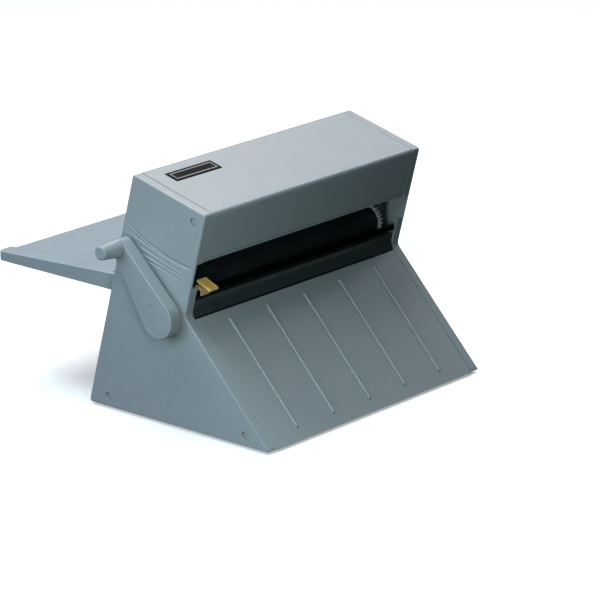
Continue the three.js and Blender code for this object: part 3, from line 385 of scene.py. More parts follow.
def moulded_plastic(name, colour, rough=0.35, grain=0.05):
    """Case plastic: a fine moulded grain, slightly uneven gloss and colour, and a little rubbing low down."""
    finish = Finish(name, IOR=1.49)
    broad = finish.noise(7.0, 2.0)
    fine = finish.noise(55.0, 4.0)
    grain_height = finish.noise(1300.0, 2.0, 0.6)
    pits = finish.spread(finish.cells(700.0), 0.0, 0.45)
    scuffs = finish.spread(finish.noise(90.0, 6.0, 0.7, (0.25, 1.0, 2.2)), 0.66, 0.76)
    low = finish.spread(finish.height_above(), 0.012, 0.07, 1.0, 0.15)
    worn = finish.sum(scuffs, low, "MULTIPLY")
    tone = finish.blend(finish.spread(broad, 0.3, 0.7), shade(colour, 0.965), shade(colour, 1.035))
    tone = finish.blend(finish.spread(fine, 0.35, 0.75, 0.0, 0.35), tone, shade(colour, 0.93))
    tone = finish.blend(finish.spread(grain_height, 0.35, 0.65, 0.0, 0.22), tone, shade(colour, 1.16))
    tone = finish.blend(finish.sum(worn, 0.35, "MULTIPLY"), tone, shade(colour, 1.3))
    finish.colour(tone)
    even = finish.spread(fine, 0.3, 0.7, rough - 0.05, rough + 0.06)
    gloss = finish.sum(even, finish.sum(worn, 0.12, "MULTIPLY"))
    finish.roughness(gloss)
    finish.bump(grain_height, grain * MM)
    finish.bump(pits, grain * 0.6 * MM)
    return finish.material


def satin_plastic(name, colour, rough=0.3, coat=0.0, specular=0.5):
    """Smooth mouldings: faint flow marks and fine dust scratches."""
    finish = Finish(name, IOR=1.5, Coat_Weight=coat, Coat_Roughness=0.12, Specular_IOR_Level=specular)
    flow = finish.noise(26.0, 4.0, 0.55, (0.35, 1.0, 1.0))
    speck = finish.noise(1500.0, 2.0)
    scratch = finish.spread(finish.noise(160.0, 5.0, 0.75, (0.12, 1.0, 1.0)), 0.64, 0.74)
    tone = finish.blend(finish.spread(flow, 0.3, 0.7), shade(colour, 0.86), shade(colour, 1.14))
    scratched = tuple(0.6 * part + 0.06 for part in colour[:3])
    tone = finish.blend(finish.sum(scratch, 0.3, "MULTIPLY"), tone, scratched)
    finish.colour(tone)
    even = finish.spread(flow, 0.3, 0.7, rough - 0.05, rough + 0.07)
    finish.roughness(finish.sum(even, finish.sum(scratch, 0.15, "MULTIPLY")))
    finish.bump(speck, 0.015 * MM)
    finish.bump(flow, 0.05 * MM, 0.4)
    return finish.material


def roller_rubber(name, colour):
    """Ground rubber: fine rings from the grinding wheel under a light polish."""
    finish = Finish(name, IOR=1.52, Specular_IOR_Level=0.55)
    rings = finish.noise(420.0, 3.0, 0.6, (1.0, 0.02, 0.02))
    patches = finish.noise(24.0, 3.0)
    tone = finish.blend(finish.spread(patches, 0.3, 0.7), shade(colour, 0.8), shade(colour, 1.5))
    finish.colour(tone)
    finish.roughness(finish.spread(finish.sum(rings, patches), 0.7, 1.3, 0.26, 0.42))
    finish.bump(rings, 0.03 * MM)
    return finish.material


def matt_rubber(name, colour):
    finish = Finish(name, IOR=1.5)
    crumb = finish.noise(900.0, 3.0)
    dust = finish.noise(70.0, 4.0)
    dusty = tuple(part + 0.05 for part in colour[:3])
    finish.colour(finish.blend(finish.spread(dust, 0.4, 0.8), colour, dusty))
    finish.roughness(finish.spread(dust, 0.3, 0.7, 0.68, 0.85))
    finish.bump(crumb, 0.05 * MM)
    return finish.material


def drawn_steel(name, colour, rough, stretch):
    """Bright steel with marks along or round the part, by the stretch of its pattern."""
    finish = Finish(name, Metallic=1.0)
    lines = finish.noise(650.0, 4.0, 0.65, stretch)
    stain = finish.noise(35.0, 4.0)
    tone = finish.blend(finish.spread(lines, 0.3, 0.7), shade(colour, 0.78), shade(colour, 1.08))
    finish.colour(finish.blend(finish.spread(stain, 0.5, 0.8, 0.0, 0.5), tone, shade(colour, 0.6)))
    finish.roughness(finish.spread(lines, 0.3, 0.7, rough - 0.06, rough + 0.1))
    finish.bump(lines, 0.02 * MM)
    return finish.material


def zinc_plate(name, colour):
    """Plated sheet: soft crystals of slightly different brightness."""
    finish = Finish(name, Metallic=0.7)
    crystals = finish.cells(130.0)
    mottle = finish.noise(60.0, 5.0)
    tone = finish.blend(finish.spread(crystals, 0.0, 0.6), shade(colour, 0.82), shade(colour, 1.1))
    finish.colour(finish.blend(finish.spread(mottle, 0.4, 0.75, 0.0, 0.4), tone, shade(colour, 0.68)))
    finish.roughness(finish.spread(mottle, 0.3, 0.7, 0.36, 0.56))
    finish.bump(mottle, 0.03 * MM)
    return finish.material


def sintered_bronze(name, colour):
    finish = Finish(name, Metallic=0.9)
    pores = finish.cells(1400.0)
    oil = finish.noise(120.0, 4.0)
    tone = finish.blend(finish.spread(pores, 0.05, 0.4), shade(colour, 0.45), colour)
    finish.colour(finish.blend(finish.spread(oil, 0.45, 0.7, 0.0, 0.5), tone, shade(colour, 0.6)))
    finish.roughness(finish.spread(oil, 0.3, 0.7, 0.4, 0.6))
    finish.bump(pores, 0.04 * MM)
    return finish.material


def wound_card(name, colour):
    """Card tube: fibres and the slanting joint of its winding."""
    finish = Finish(name, IOR=1.4)
    fibres = finish.noise(380.0, 6.0, 0.7, (0.3, 1.0, 1.0))
    wrap = finish.noise(30.0, 2.0, 0.5, (1.0, 0.3, 0.3))
    tone = finish.blend(finish.spread(fibres, 0.3, 0.7), shade(colour, 0.78), shade(colour, 1.15))
    finish.colour(finish.blend(finish.spread(wrap, 0.48, 0.52, 0.0, 0.3), tone, shade(colour, 0.7)))
    finish.roughness(finish.spread(fibres, 0.3, 0.7, 0.8, 0.95))
    finish.bump(fibres, 0.08 * MM)
    return finish.material


def wound_film(name, colour):
    """Many layers of clear film: milky, with faint hoops where the winding varied."""
    finish = Finish(name, IOR=1.5, Transmission_Weight=0.15, Coat_Weight=0.6, Coat_Roughness=0.06)
    hoops = finish.noise(240.0, 3.0, 0.6, (1.0, 0.03, 0.03))
    haze = finish.noise(18.0, 3.0)
    tone = finish.blend(finish.spread(hoops, 0.35, 0.7), shade(colour, 0.8), colour)
    finish.colour(finish.blend(finish.spread(haze, 0.35, 0.75, 0.0, 0.4), tone, shade(colour, 0.7)))
    finish.roughness(finish.spread(haze, 0.3, 0.7, 0.16, 0.28))
    finish.bump(hoops, 0.04 * MM)
    return finish.material


def single_film(name, colour):
    """One layer of clear film with a slight ripple."""
    finish = Finish(name, IOR=1.5, Transmission_Weight=0.9)
    ripple = finish.noise(14.0, 3.0, 0.5, (0.5, 1.0, 1.0))
    haze = finish.noise(90.0, 4.0)
    finish.colour(finish.blend(finish.spread(haze, 0.3, 0.7), shade(colour, 0.94), colour))
    finish.roughness(finish.spread(haze, 0.3, 0.7, 0.05, 0.14))
    finish.bump(ripple, 0.6 * MM, 0.5)
    return finish.material


FINISHES = {}


def make_finishes(settings):
    """All finishes, by the record's slot; what needs another pattern, or is a copy of a plastic with painted
    shade or light, has a name of its own.
    """
    case = tuple(settings.case_colour)
    black = tuple(settings.black_colour)
    FINISHES.update({
        "case_plastic": moulded_plastic("case plastic", case),
        "painted_steel": moulded_plastic("painted screw", shade(case, 0.95), 0.4, 0.02),
        "black_plastic": satin_plastic("black plastic", black, 0.3),
        # A lighter, greener copy of the black plastic: the teal light in the shaded throat is painted into
        # its colour.
        "black_with_painted_throat_light": satin_plastic("black plastic with painted throat light", (0.034, 0.05, 0.048), 0.3, 0.3),
        # A tan copy of the yellow plastic: shade under the finger tab and a reddish reflection are painted
        # into its colour.
        "yellow_with_painted_shade": satin_plastic("yellow plastic with painted shade", (0.62, 0.37, 0.22), 0.42),
        "badge_black": satin_plastic("badge lacquer", shade(black, 0.35), 0.5, specular=0.06),
        "badge_grey": satin_plastic("badge border", tuple(settings.border_colour), 0.5, specular=0.1),
        "black_aluminium": drawn_steel("black anodised rail", shade(black, 1.2), 0.34, (0.03, 1.0, 1.0)),
        "yellow_plastic": satin_plastic("yellow plastic", tuple(settings.slide_colour), 0.36, 0.15),
        "pale_plastic": satin_plastic("gear plastic", (0.62, 0.64, 0.68), 0.42),
        "roller_rubber": roller_rubber("roller rubber", (0.012, 0.015, 0.017)),
        "foot_rubber": matt_rubber("foot rubber", (0.03, 0.03, 0.03)),
        "bright_steel": drawn_steel("ground steel", (0.62, 0.63, 0.64), 0.28, (1.0, 0.06, 0.06)),
        "zinc_steel": zinc_plate("dark zinc plate", (0.07, 0.09, 0.1)),
        "bronze": sintered_bronze("sintered bronze", (0.5, 0.33, 0.17)),
        "card": wound_card("wound card", (0.47, 0.36, 0.22)),
        "clear_film": wound_film("wound film", (0.72, 0.77, 0.8)),
        "film_web": single_film("single film", (0.9, 0.93, 0.95)),
    })


# ---------------------------------------------------------------------------------------------
# Settings
# ---------------------------------------------------------------------------------------------


class LaminatorSettings(bpy.types.PropertyGroup):
    """Sizes and colours that may be changed before the pieces are made."""

    cap_radius: bpy.props.FloatProperty(
        name="Cap edge radius", description="Rounding of an end cap's outer edge",
        default=1.8 * MM, min=0.2 * MM, max=2 * MM, subtype="DISTANCE", unit="LENGTH", precision=5,
    )
    crank_radius: bpy.props.FloatProperty(
        name="Crank edge radius", description="Rounding of the crank's face edge",
        default=1.3 * MM, min=0.1 * MM, max=3 * MM, subtype="DISTANCE", unit="LENGTH", precision=5,
    )
    pleat_depth: bpy.props.FloatProperty(
        name="Pleat depth", description="Depth of the fan of pleats in an end cap",
        default=1.4 * MM, min=0.2 * MM, max=2 * MM, subtype="DISTANCE", unit="LENGTH", precision=5,
    )
    case_colour: bpy.props.FloatVectorProperty(
        name="Case", description="Colour of the case plastic",
        default=(0.335, 0.378, 0.402), min=0, max=1, subtype="COLOR",
    )
    black_colour: bpy.props.FloatVectorProperty(
        name="Black parts", description="Colour of the black plastic and the rail",
        default=(0.016, 0.019, 0.021), min=0, max=1, subtype="COLOR",
    )
    slide_colour: bpy.props.FloatVectorProperty(
        name="Cutter slide", description="Colour of the cutter's slide",
        default=(1.0, 0.68, 0.19), min=0, max=1, subtype="COLOR",
    )
    border_colour: bpy.props.FloatVectorProperty(
        name="Badge border", description="Colour of the thin border on the badge",
        default=(0.42, 0.45, 0.47), min=0, max=1, subtype="COLOR",
    )


class LaminatorStudio(bpy.types.PropertyGroup):
    """The floor and the light."""

    floor_colour: bpy.props.FloatVectorProperty(
        name="Floor", description="Colour of the plain floor",
        default=(0.9, 0.9, 0.9), min=0, max=1, subtype="COLOR",
    )
    key_power: bpy.props.FloatProperty(
        name="Key light", description="Power of the large light above and behind",
        default=60.0, min=0, unit="POWER",
    )
    right_power: bpy.props.FloatProperty(
        name="Right light", description="Power of the warm light above the right end",
        default=14.0, min=0, unit="POWER",
    )
    strip_power: bpy.props.FloatProperty(
        name="Strip light", description="Power of the narrow light that shines along the lid's nose",
        default=14.0, min=0, unit="POWER",
    )
    side_power: bpy.props.FloatProperty(
        name="Side light", description="Power of the light at the crank's side",
        default=21.0, min=0, unit="POWER",
    )
    edge_power: bpy.props.FloatProperty(
        name="Edge light", description="Power of the small high light that picks out the edges",
        default=5.0, min=0, unit="POWER",
    )
    front_power: bpy.props.FloatProperty(
        name="Front light", description="Power of the small light at the front left",
        default=2.1, min=0, unit="POWER",
    )
    sky_colour: bpy.props.FloatVectorProperty(
        name="Surroundings", description="Colour of the light from all round",
        default=(0.62, 0.86, 1.0), min=0, max=1, subtype="COLOR",
    )
    sky_strength: bpy.props.FloatProperty(
        name="Surroundings strength", description="Strength of the light from all round",
        default=0.012, min=0,
    )


# ---------------------------------------------------------------------------------------------
# Stage
# ---------------------------------------------------------------------------------------------


def area_light(name, place, target, power, size, colour):
    bpy.ops.object.light_add(type="AREA", location=place)
    lamp = bpy.context.object
    lamp.name = name
    lamp.data.shape = "RECTANGLE"
    lamp.data.size, lamp.data.size_y = size
    lamp.data.energy = power
    lamp.data.color = colour
    lamp.rotation_euler = (Vector(target) - Vector(place)).to_track_quat("-Z", "Y").to_euler()
    lamp.visible_camera = False
    return lamp


class LAMINATOR_OT_stage(bpy.types.Operator):
    """Makes the camera, the floor and the light"""

    bl_idname = "laminator.stage"
    bl_label = "Stage"

    def execute(self, context):
        studio = context.scene.laminator_studio
        azimuth, elevation = math.radians(-49.526), math.radians(17.612)
        back = Vector((
            math.sin(azimuth) * math.cos(elevation),
            -math.cos(azimuth) * math.cos(elevation),
            math.sin(elevation),
        ))
        right = Vector((math.cos(azimuth), math.sin(azimuth), 0))
        up = back.cross(right)
        aim = on_side(0, 130, MIDDLE_X) + right * 15.56 * MM - up * 26.75 * MM
        bpy.ops.object.camera_add(location=aim + back * 4.1145)
        camera = context.object
        camera.name = "camera"
        camera.rotation_euler = Matrix((right, up, back)).transposed().to_euler()
        camera.data.sensor_width = 36
        camera.data.lens = 218.3
        camera.data.clip_end = 100
        context.scene.camera = camera

        bpy.ops.mesh.primitive_plane_add(size=60, location=(0, 0, 0))
        floor = context.object
        floor.name = "floor"
        paper = Finish("studio paper", Specular_IOR_Level=0.15)
        tone = tuple(studio.floor_colour)
        paper.colour(paper.blend(paper.spread(paper.noise(3.0), 0.3, 0.7), shade(tone, 0.99), tone))
        paper.roughness(paper.spread(paper.noise(9.0), 0.3, 0.7, 0.85, 0.95))
        paper.shader.inputs["Emission Color"].default_value = (1, 1, 1, 1)
        paper.shader.inputs["Emission Strength"].default_value = 0.35
        floor.data.materials.append(paper.material)
        floor.visible_diffuse = False
        floor.visible_glossy = False

        target = (0.02, -0.06, 0.15)
        area_light("key", (-0.1, 0.75, 2.3), target, studio.key_power, (1.8, 1.6), (0.79, 0.91, 1.0))
        area_light("top_right", (1.4, 0.9, 2.0), target, studio.right_power, (1.2, 1.2), (1.0, 0.76, 0.58))
        area_light("nose_strip", (1.74, -0.17, 1.93), (0.0, -0.12, 0.27), studio.strip_power,
                   (0.25, 1.3), (0.9, 0.96, 1.0))
        area_light("side", (-2.2, 0.35, 0.9), target, studio.side_power, (1.2, 1.2), (0.69, 0.85, 1.0))
        area_light("edge_light", (-1.45, -0.95, 1.6), target, studio.edge_power,
                   (0.35, 0.35), (0.85, 0.95, 1.0))
        area_light("front_left", (-0.62, -0.55, 0.28), (-0.12, -0.12, 0.22), studio.front_power, (0.35, 0.35),
                   (0.8, 0.97, 0.96))

        world = bpy.data.worlds.new("surroundings")
        world.use_nodes = True
        sky = world.node_tree.nodes["Background"]
        sky.inputs["Color"].default_value = (*studio.sky_colour, 1)
        sky.inputs["Strength"].default_value = studio.sky_strength
        context.scene.world = world
        context.scene.view_settings.view_transform = "Standard"
        return {"FINISHED"}


# ---------------------------------------------------------------------------------------------
# Pieces
# ---------------------------------------------------------------------------------------------

# The fan of pleats on an end cap, in millimetres behind the case's middle and above its underside:
# the ends of its top line, how far each lower line's ends lie from the one above, and its sag.
PLEAT_COUNT = 5
PLEAT_REAR, PLEAT_REAR_STEP, PLEAT_REAR_CLOSING = Vector((73, 222)), Vector((-8, -14)), 1
PLEAT_FRONT, PLEAT_FRONT_STEP = Vector((-22.5, 184)), Vector((1, -4.5))
PLEAT_SAG, PLEAT_SAG_RATIO = 7, 1 / 4
BODY_LINE = [(-8, 104), (18, 8)]
SCREWS = [(-26, 240), (104, 12), (-99, 12)]


def pleat_line(number, steps=16):
    """A line of the fan, from rear to front: a parabola, flatter the lower it lies."""
    rear = PLEAT_REAR + PLEAT_REAR_STEP * number + Vector((0, PLEAT_REAR_CLOSING * number ** 2))
    front = PLEAT_FRONT + PLEAT_FRONT_STEP * number
    sag = PLEAT_SAG * PLEAT_SAG_RATIO ** number
    shares = [i / steps for i in range(steps + 1)]
    return [rear.lerp(front, share) - Vector((0, 4 * sag * share * (1 - share))) for share in shares]


def pleat_tools(side, depth):
    """Wedges that sink slowly from one line to the next and come up again in a narrow ledge that faces up."""
    face = SIDE_X[side]
    inward = 1 if side == "left" else -1
    lines = [pleat_line(number) for number in range(PLEAT_COUNT)]
    above_first = [point + Vector((2.6, 5.4)) for point in lines[0]]
    tools = []
    for number, (line, below) in enumerate(zip([above_first] + lines, lines)):
        sections = []
        for i, point in enumerate(line):
            share = i / (len(line) - 1)
            fade = min(1.0, share / 0.05, (1 - share) / 0.04) * 0.96 + 0.04
            gap = below[i] - point
            way = gap.normalized()
            ledge, share_of_depth = (1.4, 1.15) if number == 0 else (1.0, min(0.62, 0.16 + gap.length / 24))
            sink = depth * fade * share_of_depth
            foot = max(gap.length - ledge, gap.length * 0.6)
            sections.append([
                on_side(*point, face - inward * 0.5 * MM),
                on_side(*(point + way * 0.05), face + inward * 0.02 * MM),
                on_side(*(point + way * foot), face + inward * sink),
                on_side(*below[i], face + inward * 0.02 * MM),
                on_side(*(below[i] + way * 0.05), face - inward * 0.5 * MM),
            ])
        tools.append(loft(f"pleat_{side}_{number}", sections))
    return tools


class LAMINATOR_OT_end_caps(bpy.types.Operator):
    """Rounds the two end caps and cuts their fan of pleats"""

    bl_idname = "laminator.end_caps"
    bl_label = "End caps"

    def execute(self, context):
        settings = context.scene.laminator_settings
        screws = [on_side(y, z) for y, z in SCREWS]
        axis = Vector((0, CRANK_AXIS.y, CRANK_AXIS.z))
        toe = on_side(-134, 0)
        for side in ("left", "right"):
            piece, body = copy_of_node(f"{side}_end_cap", f"{side}_cap_moulding")
            face = SIDE_X[side]

            def outer_rim(edge):
                middle = (edge.verts[0].co + edge.verts[1].co) / 2
                if (Vector((0, middle.y, middle.z)) - toe).length < 6 * MM:
                    return False
                for vertex in edge.verts:
                    flat = Vector((0, vertex.co.y, vertex.co.z))
                    if abs(vertex.co.x - face) > 0.02 * MM or (flat - axis).length < 9 * MM:
                        return False
                    if any((flat - screw).length < 6 * MM for screw in screws):
                        return False
                return sharp(edge)

            ease_edges(piece, 0.35, test=lambda edge: all(abs(v.co.x - face) > 0.1 * MM for v in edge.verts))
            edit(piece)
            chosen_edges(piece, outer_rim)
            bpy.ops.mesh.bevel(
                offset=settings.cap_radius, segments=5, profile=0.5, affect="EDGES", clamp_overlap=False
            )
            leave(piece)

            def recess_rim(edge):
                return all(
                    abs(vertex.co.x - face) < 0.02 * MM
                    and min((Vector((0, vertex.co.y, vertex.co.z)) - screw).length
                            for screw in screws) < 6 * MM
                    for vertex in edge.verts
                )

            ease_edges(piece, 0.45, 30, 3, recess_rim)
            carve(piece, *pleat_tools(side, settings.pleat_depth))
            outward = Vector((-1 if side == "left" else 1, 0, 0))
            line = [on_side(*point, face) for point in BODY_LINE]
            carve(piece, bar_along(f"body_line_{side}", line, 0.35 * MM, 0.16 * MM, outward))
            smooth(piece)
            put(piece, f"{side}_end_cap", body, FINISHES["case_plastic"])
        return {"FINISHED"}


class LAMINATOR_OT_lid(bpy.types.Operator):
    """Rounds the lid's long edges"""

    bl_idname = "laminator.lid"
    bl_label = "Lid"

    def execute(self, context):
        piece, body = copy_of_node("lid", "lid_moulding")
        long_edge = 200 * MM
        forward = Vector((0, -math.cos(HEAD_TILT), -math.sin(HEAD_TILT)))
        corner = on_side(-44.39, 250.46)

        def nose(edge):
            """The long edges that make the round between the top and the front."""
            middle = (edge.verts[0].co + edge.verts[1].co) / 2 - corner
            middle.x = 0
            near = middle.length < 5.5 * MM and middle.dot(forward) > -5.4 * MM
            return near and edge.calc_length() > long_edge

        edit(piece)
        chosen_edges(piece, lambda edge: nose(edge) and sharp(edge, 10))
        bpy.ops.mesh.bevel(offset=1.7 * MM, segments=4, profile=0.5, affect="EDGES", clamp_overlap=False)
        leave(piece)
        ease_edges(piece, 0.5, 50, 3)
        smooth(piece)
        put(piece, "lid", body, FINISHES["case_plastic"])
        return {"FINISHED"}


class LAMINATOR_OT_badge(bpy.types.Operator):
    """Makes the badge, a black plate with nothing on it but a thin grey border"""

    bl_idname = "laminator.badge"
    bl_label = "Badge"

    def execute(self, context):
        piece, body = copy_of_node("badge", "badge_plate")
        up = Vector((0, -math.sin(HEAD_TILT), math.cos(HEAD_TILT)))
        back = Vector((0, math.cos(HEAD_TILT), math.sin(HEAD_TILT)))
        ease_edges(piece, 0.2, 20)
        smooth(piece)
        put(piece, "badge", body, FINISHES["badge_black"])

        middle = (BADGE[0] + BADGE[1]) / 2 + up * 0.6 * MM
        half_x = (BADGE[1].x - BADGE[0].x) / 2 - 4 * MM
        half_y = (BADGE[1].y - BADGE[0].y) / 2 / math.cos(HEAD_TILT) - 4 * MM
        right, line, ink = Vector((1, 0, 0)), 0.5 * MM, 0.12 * MM
        marks = []
        for sign in (-1, 1):
            long_side = middle + back * sign * half_y
            marks.append(bar_along("border", [long_side - right * half_x, long_side + right * half_x],
                                   line, 0.3 * MM, up, ink))
            short_side, reach = middle + right * sign * (half_x - line), half_y - line
            marks.append(bar_along("border", [short_side - back * reach, short_side + back * reach],
                                   line, 0.3 * MM, up, ink))
        for mark in marks:
            mark.select_set(True)
        bpy.context.view_layer.objects.active = marks[0]
        bpy.ops.object.join()
        mark = bpy.context.object
        mark.name = "badge_border"
        bpy.ops.object.transform_apply(location=True, rotation=True, scale=True)
        put(mark, None, body, FINISHES["badge_grey"])
        return {"FINISHED"}


class LAMINATOR_OT_panels(bpy.types.Operator):
    """Eases the edges of the front and rear panels and the base"""

    bl_idname = "laminator.panels"
    bl_label = "Panels"

    def execute(self, context):
        piece, body = copy_of_node("front_panel", "front_panel_moulding")
        width = FRONT_PANEL[1].x - FRONT_PANEL[0].x
        edit(piece)
        end = FRONT_PANEL[0].x
        chosen_faces(piece, lambda face: all(abs(vertex.co.x - end) < 0.02 * MM for vertex in face.verts))
        bpy.ops.mesh.select_all(action="INVERT")
        bpy.ops.mesh.delete(type="FACE")
        bpy.ops.mesh.select_all(action="SELECT")
        bpy.ops.mesh.extrude_region_move(TRANSFORM_OT_translate={"value": (width, 0, 0)})
        bpy.ops.mesh.select_all(action="SELECT")
        bpy.ops.mesh.normals_make_consistent(inside=False)
        leave(piece)
        ease_edges(piece, 0.7, segments=3)
        slope = Vector((0, -0.6826, -0.7308))
        out = Vector((0, -0.7308, 0.6826))
        chin = on_side(-13.09, 129.44, MIDDLE_X)
        ribs = []
        for number in range(-2, 3):
            sections = []
            for along, height in ((17, 0.6), (18.2, 1.6), (20, 2.1), (159, 2.1), (160.8, 1.6), (162, 0.6)):
                root = chin + slope * along * MM + Vector((number * 62.7 * MM, 0, 0))
                half = 1.5 * MM
                sections.append([
                    root + Vector((-half, 0, 0)) - out * MM,
                    root + Vector((half, 0, 0)) - out * MM,
                    root + Vector((half, 0, 0)) + out * height * 0.55 * MM,
                    root + Vector((half * 0.5, 0, 0)) + out * height * MM,
                    root + Vector((-half * 0.5, 0, 0)) + out * height * MM,
                    root + Vector((-half, 0, 0)) + out * height * 0.55 * MM,
                ])
            ribs.append(loft(f"rib_{number}", sections))
        for rib in ribs:
            with_modifier(piece, "BOOLEAN", operation="UNION", object=rib, solver="EXACT")
            bpy.data.objects.remove(rib)
        smooth(piece)
        put(piece, "front_panel", body, FINISHES["case_plastic"])
        for node, name in (("rear_panel", "rear_panel_moulding"), ("base_plate", "base_moulding")):
            piece, body = copy_of_node(node, name)
            ease_edges(piece, 0.4)
            smooth(piece)
            put(piece, node, body, FINISHES["case_plastic"])
        return {"FINISHED"}


def arc_points(centre, radius, start, end, steps, x):
    points = []
    for i in range(steps + 1):
        angle = math.radians(start + (end - start) * i / steps)
        points.append(Vector((x, centre.y + radius * math.cos(angle), centre.z + radius * math.sin(angle))))
    return points


class LAMINATOR_OT_crank(bpy.types.Operator):
    """Rounds the crank and its knob, and engraves the turning arrows round the hub"""

    bl_idname = "laminator.crank"
    bl_label = "Crank"

    def execute(self, context):
        settings = context.scene.laminator_settings
        piece, body = copy_of_node("crank_arm", "crank_moulding")
        face = CRANK[0].x
        outward = Vector((-1, 0, 0))
        edit(piece)
        knob_y, knob_z = (KNOB[0].y + KNOB[1].y) / 2, (KNOB[0].z + KNOB[1].z) / 2

        def face_rim(edge):
            for vertex in edge.verts:
                if abs(vertex.co.x - face) > 0.02 * MM:
                    return False
                if math.hypot(vertex.co.y - knob_y, vertex.co.z - knob_z) < 6 * MM:
                    return False
            return sharp(edge)

        chosen_edges(piece, face_rim)
        bpy.ops.mesh.bevel(offset=settings.crank_radius, segments=4, profile=0.5, affect="EDGES")
        leave(piece)
        radius, half_width, depth = 17 * MM, 0.9 * MM, 0.9 * MM
        for start, end in ((46, 132), (-120, -31)):
            carve(piece, bar_along("arrow_arc", arc_points(CRANK_AXIS, radius, start, end, 20, face),
                                   half_width, depth, outward))
            tip = arc_points(CRANK_AXIS, radius, end, end, 1, face)[0]
            for spread in (-1, 1):
                root = arc_points(CRANK_AXIS, radius + spread * 2.6 * MM, end - 11, end - 11, 1, face)[0]
                carve(piece, bar_along("arrow_head", [tip, root], half_width, depth, outward))
        ease_edges(piece, 0.22)
        smooth(piece)
        put(piece, "crank_arm", body, FINISHES["case_plastic"])

        knob, body = copy_of_node("crank_knob", "knob_moulding")
        ease_edges(knob, 0.5, 40, 3)
        smooth(knob, 50)
        put(knob, "crank_knob", body, FINISHES["case_plastic"])
        return {"FINISHED"}


class LAMINATOR_OT_tray(bpy.types.Operator):
    """Rounds the feed tray"""

    bl_idname = "laminator.tray"
    bl_label = "Feed tray"

    def execute(self, context):
        piece, body = copy_of_node("feed_tray", "tray_moulding")
        ease_edges(piece, 1.3, 32, 4)
        smooth(piece)
        put(piece, "feed_tray", body, FINISHES["case_plastic"])
        return {"FINISHED"}


class LAMINATOR_OT_cutter(bpy.types.Operator):
    """Makes the cutter's finger tab with its rim and ribs, and eases the slide, the rail and the ramp"""

    bl_idname = "laminator.cutter"
    bl_label = "Cutter"

    def execute(self, context):
        for node, name, slot, finish, width in (
            # The slide is yellow plastic. It takes the tan copy, with painted shade and a painted reflection.
            ("cutter_carriage", "cutter_slide", "yellow_plastic", "yellow_with_painted_shade", 0.3),
            ("cutter_rail", "rail_bar", "black_aluminium", "black_aluminium", 0.3),
            # The ramp and the guide are black plastic. They take the copy with the throat's light painted in.
            ("exit_ramp", "ramp_moulding", "black_plastic", "black_with_painted_throat_light", 0.25),
            ("feed_guide", "guide_moulding", "black_plastic", "black_with_painted_throat_light", 0.3),
        ):
            piece, body = copy_of_node(node, name)
            ease_edges(piece, width)
            smooth(piece)
            put(piece, node, body, FINISHES[finish])

        tab, body = copy_of_node("cutter_tab", "finger_tab")
        ease_edges(tab, 0.5, 40, 3)
        edit(tab)
        chosen_faces(tab, lambda face: face.normal.z > 0.9 and face.calc_area() > 100 * MM * MM)
        top = next(face for face in bmesh.from_edit_mesh(tab.data).faces if face.select)
        up = top.normal.copy()
        centre = top.calc_center_median()
        down_slope = Vector((0, -up.z, up.y))
        bpy.ops.mesh.inset(thickness=1.3 * MM)
        bpy.ops.mesh.extrude_region_move(TRANSFORM_OT_translate={"value": -up * 0.7 * MM})
        leave(tab)
        rib_reach = 4.6 * MM
        for step in range(-4, 5):
            middle = centre + down_slope * step * 1.55 * MM - up * 0.7 * MM
            ends = [middle - Vector((rib_reach, 0, 0)), middle + Vector((rib_reach, 0, 0))]
            rib = bar_along("tab_rib", ends, 0.4 * MM, 0.3 * MM, up, 0.62 * MM)
            with_modifier(tab, "BOOLEAN", operation="UNION", object=rib, solver="EXACT")
            bpy.data.objects.remove(rib)
        smooth(tab)
        put(tab, "cutter_tab", body, FINISHES["yellow_plastic"])
        return {"FINISHED"}


class LAMINATOR_OT_springs(bpy.types.Operator):
    """Makes the two pressure springs, each with a mesh of its own; on the real laminator they shorten as the
    bearing blocks rise
    """

    bl_idname = "laminator.springs"
    bl_label = "Pressure springs"

    def execute(self, context):
        for side in ("left", "right"):
            node = f"pressure_spring_{side}"
            piece, _ = copy_of_node(node, f"nip_spring_{side}")
            smooth(piece, 60)
            put(piece, node, "chassis", FINISHES["bright_steel"])
            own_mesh(piece)
        return {"FINISHED"}


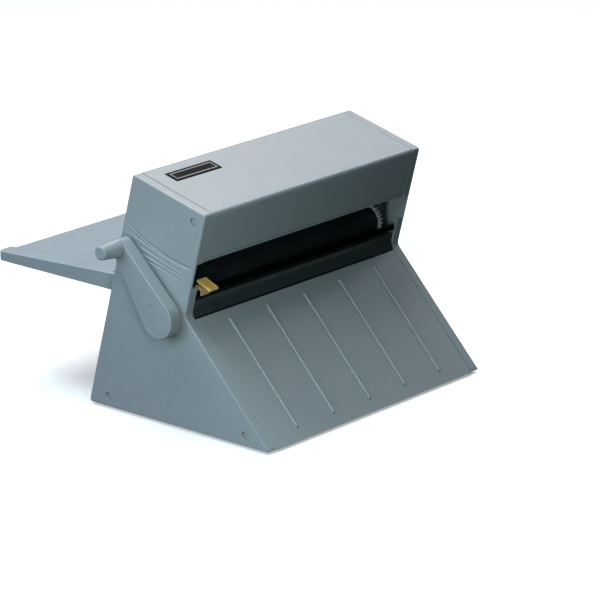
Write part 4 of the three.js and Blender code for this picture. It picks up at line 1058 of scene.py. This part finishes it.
class LAMINATOR_OT_finishes(bpy.types.Operator):
    """Makes the finishes and gives the CAD nodes theirs"""

    bl_idname = "laminator.finishes"
    bl_label = "Finishes"

    def execute(self, context):
        make_finishes(context.scene.laminator_settings)
        slots = {row["node"]: row["material_slot"] for row in frame["record"]["subparts"]}
        for name, node in frame["nodes"].items():
            finish = "film_web" if name.endswith("film_web") else slots[name]
            node.data.materials.clear()
            node.data.materials.append(FINISHES[finish])
        return {"FINISHED"}


STEPS = (
    LAMINATOR_OT_stage,
    LAMINATOR_OT_finishes,
    LAMINATOR_OT_end_caps,
    LAMINATOR_OT_lid,
    LAMINATOR_OT_badge,
    LAMINATOR_OT_panels,
    LAMINATOR_OT_crank,
    LAMINATOR_OT_tray,
    LAMINATOR_OT_cutter,
    LAMINATOR_OT_springs,
)


class LAMINATOR_PT_panel(bpy.types.Panel):
    """The steps that make the laminator, in order"""

    bl_idname = "LAMINATOR_PT_panel"
    bl_label = "Roll laminator"
    bl_space_type = "VIEW_3D"
    bl_region_type = "UI"
    bl_category = "Laminator"

    def draw(self, context):
        for settings in (context.scene.laminator_settings, context.scene.laminator_studio):
            for key in settings.__annotations__:
                self.layout.prop(settings, key)
        for step in STEPS:
            self.layout.operator(step.bl_idname)


CLASSES = (LaminatorSettings, LaminatorStudio, *STEPS, LAMINATOR_PT_panel)


def register():
    for cls in CLASSES:
        bpy.utils.register_class(cls)
    bpy.types.Scene.laminator_settings = bpy.props.PointerProperty(type=LaminatorSettings)
    bpy.types.Scene.laminator_studio = bpy.props.PointerProperty(type=LaminatorStudio)


def unregister():
    del bpy.types.Scene.laminator_studio
    del bpy.types.Scene.laminator_settings
    for cls in reversed(CLASSES):
        bpy.utils.unregister_class(cls)


def main():
    register()
    bpy.ops.laminator.stage()
    bpy.ops.laminator.finishes()
    bpy.ops.laminator.end_caps()
    bpy.ops.laminator.lid()
    bpy.ops.laminator.badge()
    bpy.ops.laminator.panels()
    bpy.ops.laminator.crank()
    bpy.ops.laminator.tray()
    bpy.ops.laminator.cutter()
    bpy.ops.laminator.springs()


if __name__ == "__main__":
    main()
